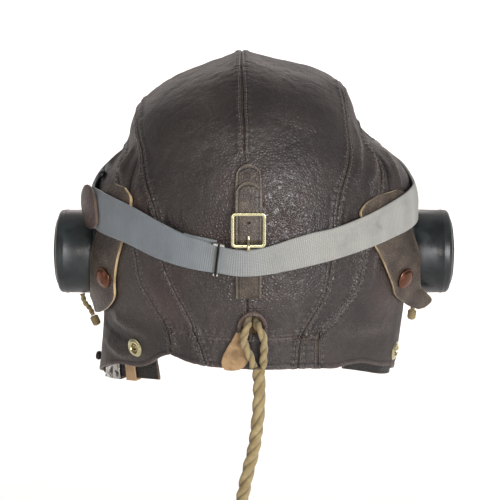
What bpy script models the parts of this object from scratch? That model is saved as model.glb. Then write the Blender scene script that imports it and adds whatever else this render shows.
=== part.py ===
"""A leather flying helmet with rubber ear cups, a goggle elastic and a hanging cord.

Metres, +Z up. +X is the wearer's right, +Y the wearer's front. The origin is the top of the
head, under the crown, where the helmet sits on a head. X = 0 lies midway between the ear cups
and Y = 0 on the axis of the ear cups.

The leather is one smooth surface, cut into panels along its seams. A place on it is an angle
around the head, 0 at the back and 180 at the front with + on the wearer's right, and a height.
"""

from collections import namedtuple
from math import cos, pi, radians, sin

import bmesh
import bpy
import numpy as np
from mathutils import Matrix, Vector

MM = 0.001

# Leather and small gaps
LEATHER = 2.0 * MM
GAP = 0.3 * MM
CROWN_TOP = 2.3 * MM

# Ear cups
CUP_RADIUS = 28.5 * MM
CUP_HEIGHT = -134 * MM
CUP_INNER_X = 96 * MM
CUP_FACE_X = 131.6 * MM
CUP_CROWNING = 4.0 * MM
EAR_RECESS_RADIUS = 20 * MM
EAR_RECESS_DEPTH = 12 * MM
CUP_EDGE = 3 * MM
CUP_SIDES = 32
CUP_HOLE_LENGTH = 60 * MM

# Goggle elastic
ELASTIC_THICKNESS = 1.4 * MM

# Chin strap
CHIN_STRAP_WIDTH = 18 * MM
CHIN_STRAP_THICKNESS = 2.2 * MM

# Cord
CORD_RADIUS = 4.2 * MM
BRANCH_RADIUS = 2.6 * MM
LEAD_RADIUS = 1.8 * MM

# The helmet's outer surface, a row for each level from the crown down: its height, how far the
# leather reaches to the left, right, back and front, where its middle lies, and how far the
# ear pockets stand out on each side. Millimetres.
Level = namedtuple("Level", "height left right back front middle left_pocket right_pocket")
LEVELS = (
    Level(0, 8, -8, 0, 0, -8, 0, 0),
    Level(-2, 14.5, -1, 22, 20, -8, 0, 0),
    Level(-6, 23, 13, 38, 35, -8, 0, 0),
    Level(-11, 36, 30, 52, 48, -7.5, 0, 0),
    Level(-18, 52, 50, 66, 61, -7, 0, 0),
    Level(-26, 65, 60, 77, 71, -7, 0, 0),
    Level(-36, 76, 65, 87, 80, -6, 0, 0),
    Level(-47, 81, 69, 94, 87, -6, 0, 0),
    Level(-58, 82, 73, 100, 92, -5, 1, 3),
    Level(-71, 83, 77, 105, 96, -5, 9, 17),
    Level(-85, 86, 82, 108, 98, -5, 17, 22),
    Level(-110, 86, 85, 109, 98, -4, 18, 21),
    Level(-138, 85, 85, 106, 97, -4, 17, 19),
    Level(-167, 83, 83, 98, 94, -4, 19, 19),
    Level(-192, 81, 80, 94, 90, -3, 23, 20),
    Level(-232, 78, 76, 93, 85, -3, 31, 18),
)
POCKET_MIDDLE = 91.0
POCKET_SPREAD = 40.0
SQUARENESS = 0.035

# Seams and edges: a row for each place, the angle around the head and the height in mm.
Place = namedtuple("Place", "around height")
SIDE_SEAM_LEFT = (
    Place(-24, -166.5), Place(-27, -155), Place(-33, -139), Place(-38, -122), Place(-39, -105),
    Place(-41, -88), Place(-48, -71), Place(-56, -53), Place(-72, -39), Place(-93, -35),
    Place(-112, -42), Place(-130, -56), Place(-142, -75),
)
SIDE_SEAM_RIGHT = (
    Place(22, -166.5), Place(27, -153), Place(32, -137), Place(34, -118), Place(36, -103),
    Place(38, -86), Place(44, -70), Place(54, -54), Place(62, -34), Place(88, -22),
    Place(110, -36), Place(130, -55), Place(142, -75),
)
POCKET_SEAM_LEFT = (
    Place(-37, -166.5), Place(-45, -151), Place(-50, -136), Place(-51, -118), Place(-54, -99),
    Place(-59, -83), Place(-70, -68), Place(-91, -60), Place(-110, -69), Place(-127, -98),
)
POCKET_SEAM_RIGHT = (
    Place(30, -166.5), Place(39, -155), Place(46, -140), Place(49, -118), Place(53, -98),
    Place(58, -79), Place(71, -60), Place(92, -51), Place(110, -65), Place(127, -98),
)
NAPE_SEAM = -166.5
NAPE_HEM = (
    Place(-38, -184), Place(-30, -186.5), Place(-20, -187.5), Place(0, -188), Place(13, -189),
    Place(24, -190), Place(31, -192),
)
HEM_LEFT = (
    Place(-38, -184), Place(-44, -189), Place(-49, -196), Place(-54, -199.5), Place(-60, -201),
    Place(-75, -211), Place(-90, -222), Place(-103, -228), Place(-111, -223),
)
HEM_RIGHT = (
    Place(31, -192), Place(39, -194), Place(46, -194), Place(52, -195.5), Place(58, -200),
    Place(70, -207), Place(90, -220), Place(103, -226), Place(111, -221),
)
FACE_EDGE = (
    Place(111, -222), Place(118, -205), Place(120, -180), Place(121, -150), Place(123, -122),
    Place(127, -98),
)
BROW_EDGE = (
    Place(127, -98), Place(134, -84), Place(142, -75), Place(156, -68), Place(180, -64),
)
SEAM_GAP = 0.0014

def hermite(knots, values, at):
    """Smooth curve through the values at the knots, with a mean slope at each knot."""
    slopes = np.gradient(values, knots)
    index = np.clip(np.searchsorted(knots, at, side="right") - 1, 0, len(knots) - 2)
    span = knots[index + 1] - knots[index]
    t = (at - knots[index]) / span
    return ((1 + 2 * t) * (1 - t) ** 2 * values[index] + t * (1 - t) ** 2 * span * slopes[index]
            + t * t * (3 - 2 * t) * values[index + 1] + t * t * (t - 1) * span * slopes[index + 1])


class Surface:
    """The leather's outer surface as a function of the angle and the depth below the crown.

    The depth runs from 0 at the crown to 1 at the lowest level, in steps as long as the way
    down the leather. The rows are mirrored past the crown, so that the top is smooth.
    """

    def __init__(self, levels):
        rows = np.array(levels, dtype=float) * MM
        height, left, right, back, front, middle, left_pocket, right_pocket = rows.T
        columns = [left + middle, right - middle, back, front]
        steps = np.sqrt(np.diff(height) ** 2 + np.diff((back + left) / 2) ** 2)
        way = np.concatenate([[0], np.cumsum(steps)])
        way /= way[-1]
        odd = [np.concatenate([-c[:0:-1], c]) for c in columns]
        even = [np.concatenate([c[:0:-1], c]) for c in (height, middle, left_pocket, right_pocket)]
        self.knots = np.concatenate([-way[:0:-1], way])
        self.columns = odd + even
        self.fine_depth = np.linspace(0, 1, 1200)
        self.fine_height = hermite(self.knots, even[0], self.fine_depth)

    def depth(self, height):
        """Depth of a height, which falls all the way down."""
        return np.interp(-np.asarray(height, dtype=float), -self.fine_height, self.fine_depth)

    def point(self, around, depth):
        """Points on the surface at angles in radians and depths, as an array ending in xyz."""
        around, depth = np.broadcast_arrays(np.asarray(around, float), np.asarray(depth, float))
        left, right, back, front, height, middle, pocket_l, pocket_r = (
            hermite(self.knots, column, depth) for column in self.columns)
        s, c = np.sin(around), np.cos(around)
        square = 1 + SQUARENESS * np.sin(2 * around) ** 2
        angle = np.degrees(np.abs((around + pi) % (2 * pi) - pi))
        pocket = np.exp(-((angle - POCKET_MIDDLE) / POCKET_SPREAD) ** 4)
        x = middle + np.where(s < 0, left * square + pocket_l * pocket,
                              right * square + pocket_r * pocket) * s
        y = -np.where(c > 0, back, front) * square * c
        return np.stack([x, y, height + CROWN_TOP], axis=-1)

    def normal(self, around, depth):
        """Outward unit normals, from small steps along and across the surface."""
        depth = np.maximum(depth, 0.004)
        step = 0.002
        down = self.point(around, depth + step) - self.point(around, depth - step)
        turn = step / depth
        across = self.point(around + turn, depth) - self.point(around - turn, depth)
        normal = np.cross(down, across)
        return normal / np.linalg.norm(normal, axis=-1, keepdims=True)


SHELL = Surface(LEVELS)


def spot(around, height, lift=0.0):
    """Point, outward normal at an angle in degrees and a height in mm, lifted off the leather."""
    angle = radians(around)
    depth = SHELL.depth(height * MM)
    normal = SHELL.normal(angle, depth)
    return SHELL.point(angle, depth) + normal * lift, normal


def flat_plan(places):
    """Places as points of a flat plan of the leather: the crown at 0, the depth as radius."""
    angles = np.radians([p.around for p in places])
    depths = SHELL.depth(np.array([p.height for p in places]) * MM)
    return np.stack([depths * np.sin(angles), depths * np.cos(angles)], axis=-1)


def from_plan(plan):
    """Angle and depth of points of the flat plan."""
    return np.arctan2(plan[..., 0], plan[..., 1]), np.hypot(plan[..., 0], plan[..., 1])


def along(points, count):
    """A smooth curve through the points, as count points at even steps."""
    points = np.asarray(points, dtype=float)
    way = np.concatenate([[0], np.cumsum(np.linalg.norm(np.diff(points, axis=0), axis=1))])
    fine = np.linspace(0, way[-1], 600)
    curve = np.stack([hermite(way, points[:, k], fine) for k in range(points.shape[1])], axis=-1)
    length = np.concatenate([[0], np.cumsum(np.linalg.norm(np.diff(curve, axis=0), axis=1))])
    even = np.linspace(0, length[-1], count)
    return np.stack([np.interp(even, length, curve[:, k]) for k in range(points.shape[1])], axis=-1)


def patch(start, end, first, last):
    """Grid filled in between four edges: two long ones, and the first and last cross edges."""
    u = np.linspace(0, 1, len(first))[:, None, None]
    w = np.linspace(0, 1, len(start))[None, :, None]
    sides = (1 - u) * start[None] + u * end[None]
    ends = (1 - w) * first[:, None] + w * last[:, None]
    corners = ((1 - u) * (1 - w) * start[0] + u * (1 - w) * end[0]
               + (1 - u) * w * start[-1] + u * w * end[-1])
    return sides + ends - corners


def pinned(curve, start, end):
    """The curve with its ends moved to start and end, and the move shared out along it."""
    share = np.linspace(0, 1, len(curve))[:, None]
    return curve + (1 - share) * (start - curve[0]) + share * (end - curve[-1])


def beside(curve, side):
    """The curve moved half a seam's gap to one side: +1 away from the crown's middle."""
    way = np.gradient(curve, axis=0)
    way /= np.linalg.norm(way, axis=1, keepdims=True)
    across = np.stack([-way[:, 1], way[:, 0]], axis=-1)
    outward = np.sign(np.sum(across * curve, axis=1).sum())
    return curve + across * outward * side * SEAM_GAP / 2


def settle(points, lift):
    """Moves points straight out or in onto the leather at their own height, then lifts them."""
    depth = SHELL.depth(points[..., 2] - CROWN_TOP)
    goal = np.arctan2(points[..., 0], -points[..., 1])
    around = goal.copy()
    for _ in range(8):
        on = SHELL.point(around, depth)
        miss = goal - np.arctan2(on[..., 0], -on[..., 1])
        around = around + (miss + pi) % (2 * pi) - pi
    return SHELL.point(around, depth) + SHELL.normal(around, depth) * np.asarray(lift)[..., None]


def finish(name, colour, roughness, metallic=0.0):
    """A plain finish for one object."""
    material = bpy.data.materials.new(name)
    material.use_nodes = True
    shader = material.node_tree.nodes["Principled BSDF"]
    shader.inputs["Base Color"].default_value = (*colour, 1)
    shader.inputs["Roughness"].default_value = roughness
    shader.inputs["Metallic"].default_value = metallic
    return material


BROWN_LEATHER = ((0.045, 0.032, 0.027), 0.5)
RED_LEATHER = ((0.15, 0.065, 0.04), 0.5)
TAN_LEATHER = ((0.45, 0.27, 0.13), 0.8)
BLACK_LEATHER = ((0.02, 0.018, 0.016), 0.55)
BLACK_RUBBER = ((0.025, 0.03, 0.033), 0.45)
GREY_ELASTIC = ((0.27, 0.28, 0.29), 0.85)
KHAKI_COTTON = ((0.35, 0.27, 0.14), 0.9)
BRASS = ((0.62, 0.5, 0.2), 0.35, 1.0)
BRONZED = ((0.35, 0.13, 0.05), 0.35, 1.0)
STEEL = ((0.6, 0.6, 0.6), 0.3, 1.0)


def solid(name, points, faces, look):
    """One closed object from points and faces, with its faces turned outwards."""
    mesh = bpy.data.meshes.new(name)
    shape = bmesh.new()
    vertices = [shape.verts.new(p) for p in points]
    for face in faces:
        shape.faces.new([vertices[k] for k in face])
    bmesh.ops.recalc_face_normals(shape, faces=shape.faces)
    shape.to_mesh(mesh)
    shape.free()
    mesh.shade_smooth()
    mesh.set_sharp_from_angle(angle=radians(40))
    thing = bpy.data.objects.new(name, mesh)
    bpy.context.scene.collection.objects.link(thing)
    thing.data.materials.append(finish(name, *look))
    return thing


def slab(name, outer, inner, look, loop=False):
    """A sheet with a thickness: two grids of points, closed along the rim or round the loop."""
    rows, columns = outer.shape[:2]
    points = np.concatenate([outer.reshape(-1, 3), inner.reshape(-1, 3)]).tolist()
    top = np.arange(rows * columns).reshape(rows, columns)
    if loop:
        top = np.concatenate([top, top[:1]])
    below = top + rows * columns
    faces = []
    for grid in (top, below):
        quads = np.stack([grid[:-1, :-1], grid[:-1, 1:], grid[1:, 1:], grid[1:, :-1]], axis=-1)
        faces += quads.reshape(-1, 4).tolist()
    edges = [(top[:, 0], below[:, 0]), (top[:, -1], below[:, -1])]
    if not loop:
        edges += [(top[0], below[0]), (top[-1], below[-1])]
    for a, b in edges:
        faces += np.stack([a[:-1], a[1:], b[1:], b[:-1]], axis=-1).tolist()
    return solid(name, points, faces, look)


def panel(name, plan, look=BROWN_LEATHER):
    """A leather panel of the helmet from a grid on the flat plan."""
    around, depth = from_plan(plan)
    outer = SHELL.point(around, depth)
    return slab(name, outer, outer - SHELL.normal(around, depth) * LEATHER, look)


def level_arc(start, end, height, count):
    """A stretch of the plan at one height, between two angles."""
    return flat_plan([Place(a, height) for a in np.linspace(start, end, count)])


def mirrored(places, side):
    """The places on the wearer's right for side +1, or on the left for -1."""
    return [Place(p.around * side, p.height) for p in places]


SEAM_POINTS = 27
CROWN_COLUMNS = 7
SIDE_COLUMNS = 4
NAPE_COLUMNS = 13
NAPE_SIDE_POINTS = 3


def leather_panels():
    """The crown halves, side panels, ear pockets and the neck band, cut along the seams."""
    centre = flat_plan([Place(0, NAPE_SEAM), Place(0, -90), Place(0, -30)]).tolist() + [[0, 0]]
    centre += flat_plan([Place(180, -30), Place(180, -64)]).tolist()
    centre = along(centre, SEAM_POINTS)
    for word, side, side_places, pocket_places, hem_places in (
            ("left", -1, SIDE_SEAM_LEFT, POCKET_SEAM_LEFT, HEM_LEFT),
            ("right", 1, SIDE_SEAM_RIGHT, POCKET_SEAM_RIGHT, HEM_RIGHT)):
        side_seam = along(flat_plan(side_places), SEAM_POINTS)
        pocket_seam = along(flat_plan(pocket_places), SEAM_POINTS)
        brow = flat_plan(mirrored(BROW_EDGE, side))
        middle = centre + np.array([side * SEAM_GAP / 2, 0])

        outer_edge = beside(side_seam, -1)
        first = level_arc(0, side_places[0].around, NAPE_SEAM, CROWN_COLUMNS)
        last = along(brow[:1:-1], CROWN_COLUMNS)
        panel(f"crown_{word}", patch(middle, outer_edge, pinned(first, middle[0], outer_edge[0]),
                                     pinned(last, middle[-1], outer_edge[-1])))

        inner_edge, outer_edge = beside(side_seam, 1), beside(pocket_seam, -1)
        first = level_arc(side_places[0].around, pocket_places[0].around, NAPE_SEAM, SIDE_COLUMNS)
        last = along(brow[2::-1], SIDE_COLUMNS)
        panel(f"side_{word}", patch(inner_edge, outer_edge,
                                    pinned(first, inner_edge[0], outer_edge[0]),
                                    pinned(last, inner_edge[-1], outer_edge[-1])))

        pocket_edge = beside(pocket_seam, 1)
        nape_side = flat_plan([hem_places[0], pocket_places[0]])
        nape_side[:, 0] += side * SEAM_GAP / 2
        nape_side = along(nape_side, NAPE_SIDE_POINTS + 1)[:-1]
        half = SEAM_POINTS // 2
        rear = np.concatenate([nape_side, pocket_edge[:half + 1]])
        over = pocket_edge[half:]
        hem = along(flat_plan(hem_places), len(over))
        face = along(flat_plan(mirrored(FACE_EDGE, side)), len(rear))
        hem = pinned(hem, rear[0], face[0])
        face = pinned(face, face[0], over[-1])
        pocket = panel(f"pocket_{word}", patch(rear, face, hem, over))
        cut_round_hole(pocket, Vector((side * CUP_INNER_X, 0, CUP_HEIGHT)), Vector((1, 0, 0)),
                       CUP_RADIUS + GAP, CUP_HOLE_LENGTH, CUP_SIDES)

    top = level_arc(POCKET_SEAM_LEFT[0].around, POCKET_SEAM_RIGHT[0].around, NAPE_SEAM, NAPE_COLUMNS)
    top *= 1 + SEAM_GAP / np.linalg.norm(top[0])
    hem = along(flat_plan(NAPE_HEM), NAPE_COLUMNS)
    down = np.linspace(0, 1, NAPE_SIDE_POINTS)[:, None, None]
    band = (1 - down) * top + down * hem
    band[:, 0, 0] += SEAM_GAP / 2
    band[:, -1, 0] -= SEAM_GAP / 2
    panel("neck_band", band)


def cut_round_hole(thing, centre, axis, radius, length, sides):
    """Cuts a round hole with a hidden cylinder."""
    mesh = bpy.data.meshes.new("hole")
    shape = bmesh.new()
    bmesh.ops.create_cone(shape, cap_ends=True, segments=sides, radius1=radius, radius2=radius,
                          depth=length)
    shape.transform(Matrix.Translation(centre) @ axis.to_track_quat("Z", "Y").to_matrix().to_4x4())
    shape.to_mesh(mesh)
    shape.free()
    cutter = bpy.data.objects.new(f"{thing.name}_cutter", mesh)
    cutter.hide_render = True
    cutter.display_type = "WIRE"
    bpy.context.scene.collection.objects.link(cutter)
    cut = thing.modifiers.new("hole", "BOOLEAN")
    cut.object = cutter
    cut.operation = "DIFFERENCE"
    cut.solver = "EXACT"


def turned(name, profile, seat, axis, sides, look):
    """A round solid: rows of radius and distance along the axis, from one end to the other."""
    turn = Matrix.Translation(Vector(seat)) @ Vector(axis).to_track_quat("Z", "Y").to_matrix().to_4x4()
    points, rings = [], []
    for radius, along_axis in profile:
        count = sides if radius > 0 else 1
        rings.append(range(len(points), len(points) + count))
        points += [turn @ Vector((radius * cos(2 * pi * k / sides), radius * sin(2 * pi * k / sides),
                                  along_axis)) for k in range(count)]
    faces = []
    for low, high in zip(rings, rings[1:]):
        for k in range(sides):
            following = (k + 1) % sides
            quad = [low[k % len(low)], low[following % len(low)],
                    high[following % len(high)], high[k % len(high)]]
            faces.append(list(dict.fromkeys(quad)))
    return solid(name, points, faces, look)


def wire(name, points, radius, look, cyclic=False, resolution=2):
    """A round bar, wire or cord along points, with closed ends, or closed into a ring."""
    curve = bpy.data.curves.new(name, "CURVE")
    curve.dimensions = "3D"
    curve.bevel_depth = radius
    curve.bevel_resolution = resolution
    curve.use_fill_caps = not cyclic
    curve.render_resolution_u = 0
    line = curve.splines.new("POLY")
    line.points.add(len(points) - 1)
    for knot, place in zip(line.points, points):
        knot.co = (*place, 1)
    line.use_cyclic_u = cyclic
    thing = bpy.data.objects.new(name, curve)
    bpy.context.scene.collection.objects.link(thing)
    curve.materials.append(finish(name, *look))
    return thing


def ear_cups():
    """Rubber ear cups through the pockets: domed outer faces, and a recess for the ear inside."""
    edge = CUP_EDGE
    for word, side in (("left", -1), ("right", 1)):
        dome = [(CUP_RADIUS - edge - (CUP_RADIUS - edge) * t,
                 CUP_FACE_X + CUP_CROWNING * sin(t * pi / 2)) for t in (0.25, 0.55, 1)]
        profile = [(0, CUP_INNER_X + EAR_RECESS_DEPTH),
                   (EAR_RECESS_RADIUS, CUP_INNER_X + EAR_RECESS_DEPTH),
                   (EAR_RECESS_RADIUS, CUP_INNER_X), (CUP_RADIUS - edge, CUP_INNER_X),
                   (CUP_RADIUS, CUP_INNER_X + edge), (CUP_RADIUS, CUP_FACE_X - edge),
                   (CUP_RADIUS - edge / 3, CUP_FACE_X - edge / 3),
                   (CUP_RADIUS - edge, CUP_FACE_X)] + dome
        turned(f"ear_cup_{word}", profile, (0, 0, CUP_HEIGHT), (side, 0, 0), CUP_SIDES,
               BLACK_RUBBER)


# A flap that lies on the leather or stands off it: a row for each height in mm, with the angle
# and the lift in mm of its back and its front edge.
FlapRow = namedtuple("FlapRow", "height back front back_lift front_lift")
EAR_TAB_LEFT = (
    FlapRow(-79, 56, 62, 0.8, 0.8), FlapRow(-82, 52.5, 66, 0.8, 0.8),
    FlapRow(-88, 51, 70, 0.8, 0.8), FlapRow(-100, 53, 72, 0.8, 0.8),
    FlapRow(-112, 55.5, 73.5, 0.8, 0.9), FlapRow(-118, 57, 74, 0.8, 2.5),
    FlapRow(-126, 59, 74.5, 0.8, 6), FlapRow(-136, 61, 74.5, 0.8, 8),
    FlapRow(-146, 62, 74.5, 0.8, 8.5), FlapRow(-154, 62.5, 75.5, 1, 8.5),
    FlapRow(-163, 66.5, 81, 1.5, 8), FlapRow(-169, 71.5, 86, 2.5, 7), FlapRow(-173, 77, 88, 3.2, 6),
    FlapRow(-175.5, 82, 89, 3.8, 5.5),
)
EAR_TAB_RIGHT = (
    FlapRow(-83, 55, 63, 0.8, 0.8), FlapRow(-85.5, 50, 66, 0.8, 0.8),
    FlapRow(-89, 47, 69, 0.8, 0.8), FlapRow(-98, 47.5, 71, 0.8, 0.8),
    FlapRow(-112, 51, 72.5, 0.8, 0.9), FlapRow(-118, 53, 73.5, 0.8, 2.5),
    FlapRow(-126, 55.5, 74, 0.8, 6), FlapRow(-136, 58.5, 74, 0.8, 8),
    FlapRow(-146, 61.5, 74.5, 0.8, 8.8), FlapRow(-153.5, 63.5, 76.3, 1, 10.2),
    FlapRow(-158, 66.5, 78, 1.3, 14), FlapRow(-161.5, 69.5, 79.5, 1.9, 16.5),
    FlapRow(-164.5, 72, 80, 3.5, 17), FlapRow(-167.5, 75, 79.5, 7, 14.5),
    FlapRow(-169, 76.5, 78.5, 9.5, 12.5),
)
STRAP_TONGUE = (
    FlapRow(-86, 70.5, 73.5, 6.6, 7.2), FlapRow(-87.2, 68, 76, 6.5, 7.8),
    FlapRow(-89.5, 66, 78, 6.5, 8.2), FlapRow(-93, 65, 79, 6.5, 8.6), FlapRow(-98, 64.5, 79, 6.5, 8.8),
    FlapRow(-103, 65, 78.8, 6.5, 8.6), FlapRow(-107, 66.5, 77.5, 6.5, 8.3),
    FlapRow(-109.5, 68.5, 76, 6.5, 7.9), FlapRow(-111, 71, 74, 6.6, 7.5),
)


class Flap:
    """A leather flap from its rows, on the wearer's right for side +1 or the left for -1."""

    def __init__(self, rows, side):
        self.rows = np.array(rows, dtype=float)
        self.side = side

    def points(self, share, height, more_lift=0.0):
        """Points at a share of the way from back to front edge, and at heights in mm."""
        back, front, back_lift, front_lift = (
            np.interp(-height, -self.rows[:, 0], self.rows[:, k]) for k in (1, 2, 3, 4))
        around = np.radians(back + (front - back) * share) * self.side
        lift = (back_lift + (front_lift - back_lift) * share + more_lift) * MM
        depth = SHELL.depth(height * MM)
        return SHELL.point(around, depth) + SHELL.normal(around, depth) * lift[..., None]

    def build(self, name, look, columns=5):
        """The flap as a slab as thick as the leather."""
        share = np.linspace(0, 1, columns)[None, :] + 0 * self.rows[:, :1]
        height = self.rows[:, :1] + 0 * share
        inner = self.points(share, height)
        return slab(name, self.points(share, height, LEATHER / MM), inner, look)

    def seat(self, share, height):
        """Point and normal on the flap's outer face."""
        near = np.array([[share, height], [share + 0.02, height], [share, height - 0.5]])
        at, front, down = self.points(near[:, 0], near[:, 1], LEATHER / MM)
        normal = np.cross(down - at, front - at) * self.side
        return at, normal / np.linalg.norm(normal)


SNAP_RADIUS = 7 * MM
SNAP_PROFILE = (
    (0, GAP), (SNAP_RADIUS - 0.6 * MM, GAP), (SNAP_RADIUS, 0.9 * MM), (SNAP_RADIUS - 0.5 * MM, 1.7 * MM),
    (4.6 * MM, 2.4 * MM), (0, 2.8 * MM),
)
STUD_RADIUS = 6.3 * MM
STUD_PROFILE = (
    (0, GAP), (STUD_RADIUS, GAP), (STUD_RADIUS, 1.1 * MM), (5.2 * MM, 1.9 * MM), (3.4 * MM, 1.9 * MM),
    (2.9 * MM, 1.2 * MM), (0, 1.2 * MM),
)
CAP_HEIGHT = -141.3
KNOB_PROFILE = (
    (0, GAP), (2.6 * MM, GAP), (3.2 * MM, 1.6 * MM), (2.6 * MM, 3.4 * MM), (0, 4.2 * MM),
)


def ear_fittings():
    """Flaps behind the ear cups with their snap caps, the strap tongue, studs and ear leads."""
    for word, side, rows, share in (("left", -1, EAR_TAB_LEFT, 0.36), ("right", 1, EAR_TAB_RIGHT, 0.39)):
        flap = Flap(rows, side)
        flap.build(f"ear_tab_{word}", BROWN_LEATHER)
        seat, axis = flap.seat(share, CAP_HEIGHT)
        turned(f"snap_cap_{word}", SNAP_PROFILE, seat, axis, 16, BRONZED)
    Flap(STRAP_TONGUE, -1).build("strap_tongue_left", RED_LEATHER)
    seat, axis = spot(-80, -80.3)
    turned("tongue_knob_left", KNOB_PROFILE, seat, axis, 12, BLACK_RUBBER)
    for word, around, height in (("left", -54, -186), ("right", 71, -197)):
        seat, axis = spot(around, height)
        turned(f"cheek_stud_{word}", STUD_PROFILE, seat, axis, 16, BRASS)
    seat, axis = spot(-95, -214)
    turned("cheek_knob_left", KNOB_PROFILE, seat, axis, 12, BLACK_RUBBER)


# Straps on the back of the helmet: a row for each height in mm, with half its width and its lift.
StripRow = namedtuple("StripRow", "height half_width lift")
BUCKLE_MIDDLE = -3.3
BUCKLE_PATCH = (
    StripRow(-56.5, 3.2, 0.5), StripRow(-57.5, 5.0, 0.5), StripRow(-60, 6.7, 0.5),
    StripRow(-64, 7.6, 0.5), StripRow(-72, 7.8, 0.5), StripRow(-85, 8, 0.5), StripRow(-98, 8, 0.5),
)
REAR_STRAP = (
    StripRow(-66.5, 2.5, 2.9), StripRow(-67.6, 4.9, 2.9), StripRow(-70.5, 6.7, 2.9),
    StripRow(-74.5, 7.4, 2.9), StripRow(-84, 7.4, 2.9), StripRow(-92, 7.4, 2.9),
    StripRow(-99.5, 7.4, 2.9), StripRow(-102, 7.4, 1.8), StripRow(-104.5, 7.4, 0.5),
    StripRow(-118, 7.5, 0.5), StripRow(-130, 7.5, 0.5), StripRow(-137, 7.5, 0.5),
)
SLIT_FLAP = (
    StripRow(-161.2, 2.4, 0.5), StripRow(-165, 3.2, 0.5), StripRow(-171, 5.5, 0.5),
    StripRow(-177, 7.6, 0.6), StripRow(-182, 8, 0.8), StripRow(-186, 6, 1), StripRow(-187.5, 3.5, 1),
)
SLIT_FLAP_TOP_X = -8.6
SLIT_FLAP_END_X = -14.5


def back_angle(x, height):
    """Angle in radians at which the back of the helmet has this x, at a height in metres."""
    around = np.radians(np.linspace(-70, 70, 561))
    x, height = np.broadcast_arrays(x, height)
    found = [np.interp(a, SHELL.point(around, SHELL.depth(h))[:, 0], around)
             for a, h in zip(x.ravel(), height.ravel())]
    return np.array(found).reshape(x.shape)


def back_strip(name, rows, middle, look, columns=3, thickness=LEATHER):
    """A strap or patch on the back, with the x of its middle for each row, in mm."""
    table = np.array(rows, dtype=float)
    across = np.linspace(-1, 1, columns)[None, :]
    x = (np.broadcast_to(middle, len(table))[:, None] + table[:, 1:2] * across) * MM
    height = table[:, :1] * MM + 0 * x
    around, depth = back_angle(x, height), SHELL.depth(height)
    surface, normal = SHELL.point(around, depth), SHELL.normal(around, depth)
    lift = table[:, 2:, None] * MM
    return slab(name, surface + normal * (lift + thickness), surface + normal * lift, look)


def back_place(x, height, lift):
    """Point on the back of the helmet at an x and a height in mm, lifted off it in mm."""
    around = back_angle(np.array(x * MM), np.array(height * MM))
    depth = SHELL.depth(height * MM)
    return SHELL.point(around, depth) + SHELL.normal(around, depth) * lift * MM


BUCKLE_TOP, BUCKLE_BOTTOM = -84.2, -102.5
BUCKLE_HALF_WIDTH = 8.9
BUCKLE_CORNER = 1.6
BUCKLE_BAR = 0.95 * MM
BUCKLE_LIFT = 6.2
PRONG = ((-99.2, 5.9), (-100.6, 7.6), (-102.6, 8.3), (-104.4, 8.0))
STRAP_HOLE_HEIGHT = -88.5
STRAP_HOLE_RADIUS = 1.3 * MM


def rounded_frame(half_width, half_height, corner, steps=2):
    """Corner-rounded rectangle as pairs across and up, one list round the frame."""
    pairs = []
    for quarter, (sx, sz) in enumerate(((1, 1), (-1, 1), (-1, -1), (1, -1))):
        for k in range(steps + 1):
            angle = (quarter + k / steps) * pi / 2
            pairs.append((sx * (half_width - corner) + corner * cos(angle),
                          sz * (half_height - corner) + corner * sin(angle)))
    return pairs


def rear_buckle():
    """The size buckle at the back: patch, strap with its holes, brass frame and prong."""
    back_strip("buckle_patch", BUCKLE_PATCH, BUCKLE_MIDDLE, BROWN_LEATHER, columns=4)
    strap = back_strip("rear_strap", REAR_STRAP, BUCKLE_MIDDLE, BROWN_LEATHER, columns=4)
    hole = back_place(BUCKLE_MIDDLE, STRAP_HOLE_HEIGHT, 3.9)
    cut_round_hole(strap, Vector(hole), Vector((0, 1, 0)), STRAP_HOLE_RADIUS, 3.4 * MM, 10)
    half_height = (BUCKLE_TOP - BUCKLE_BOTTOM) / 2
    middle = (BUCKLE_TOP + BUCKLE_BOTTOM) / 2
    frame = [back_place(BUCKLE_MIDDLE + x, middle + z, BUCKLE_LIFT)
             for x, z in rounded_frame(BUCKLE_HALF_WIDTH, half_height, BUCKLE_CORNER)]
    wire("rear_buckle", frame, BUCKLE_BAR, BRASS, cyclic=True)
    prong = [back_place(BUCKLE_MIDDLE, z, lift) for z, lift in PRONG]
    wire("buckle_prong", prong, 0.8 * MM, BRASS)


SLIT_MIDDLE = -1.0
SLIT_HEIGHT = -156.7
SLIT_HALF_WIDTH, SLIT_HALF_HEIGHT = 6.2, 7.2
WELT_WIDTH = 3.0
WELT_FOOT = -160.6


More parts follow.
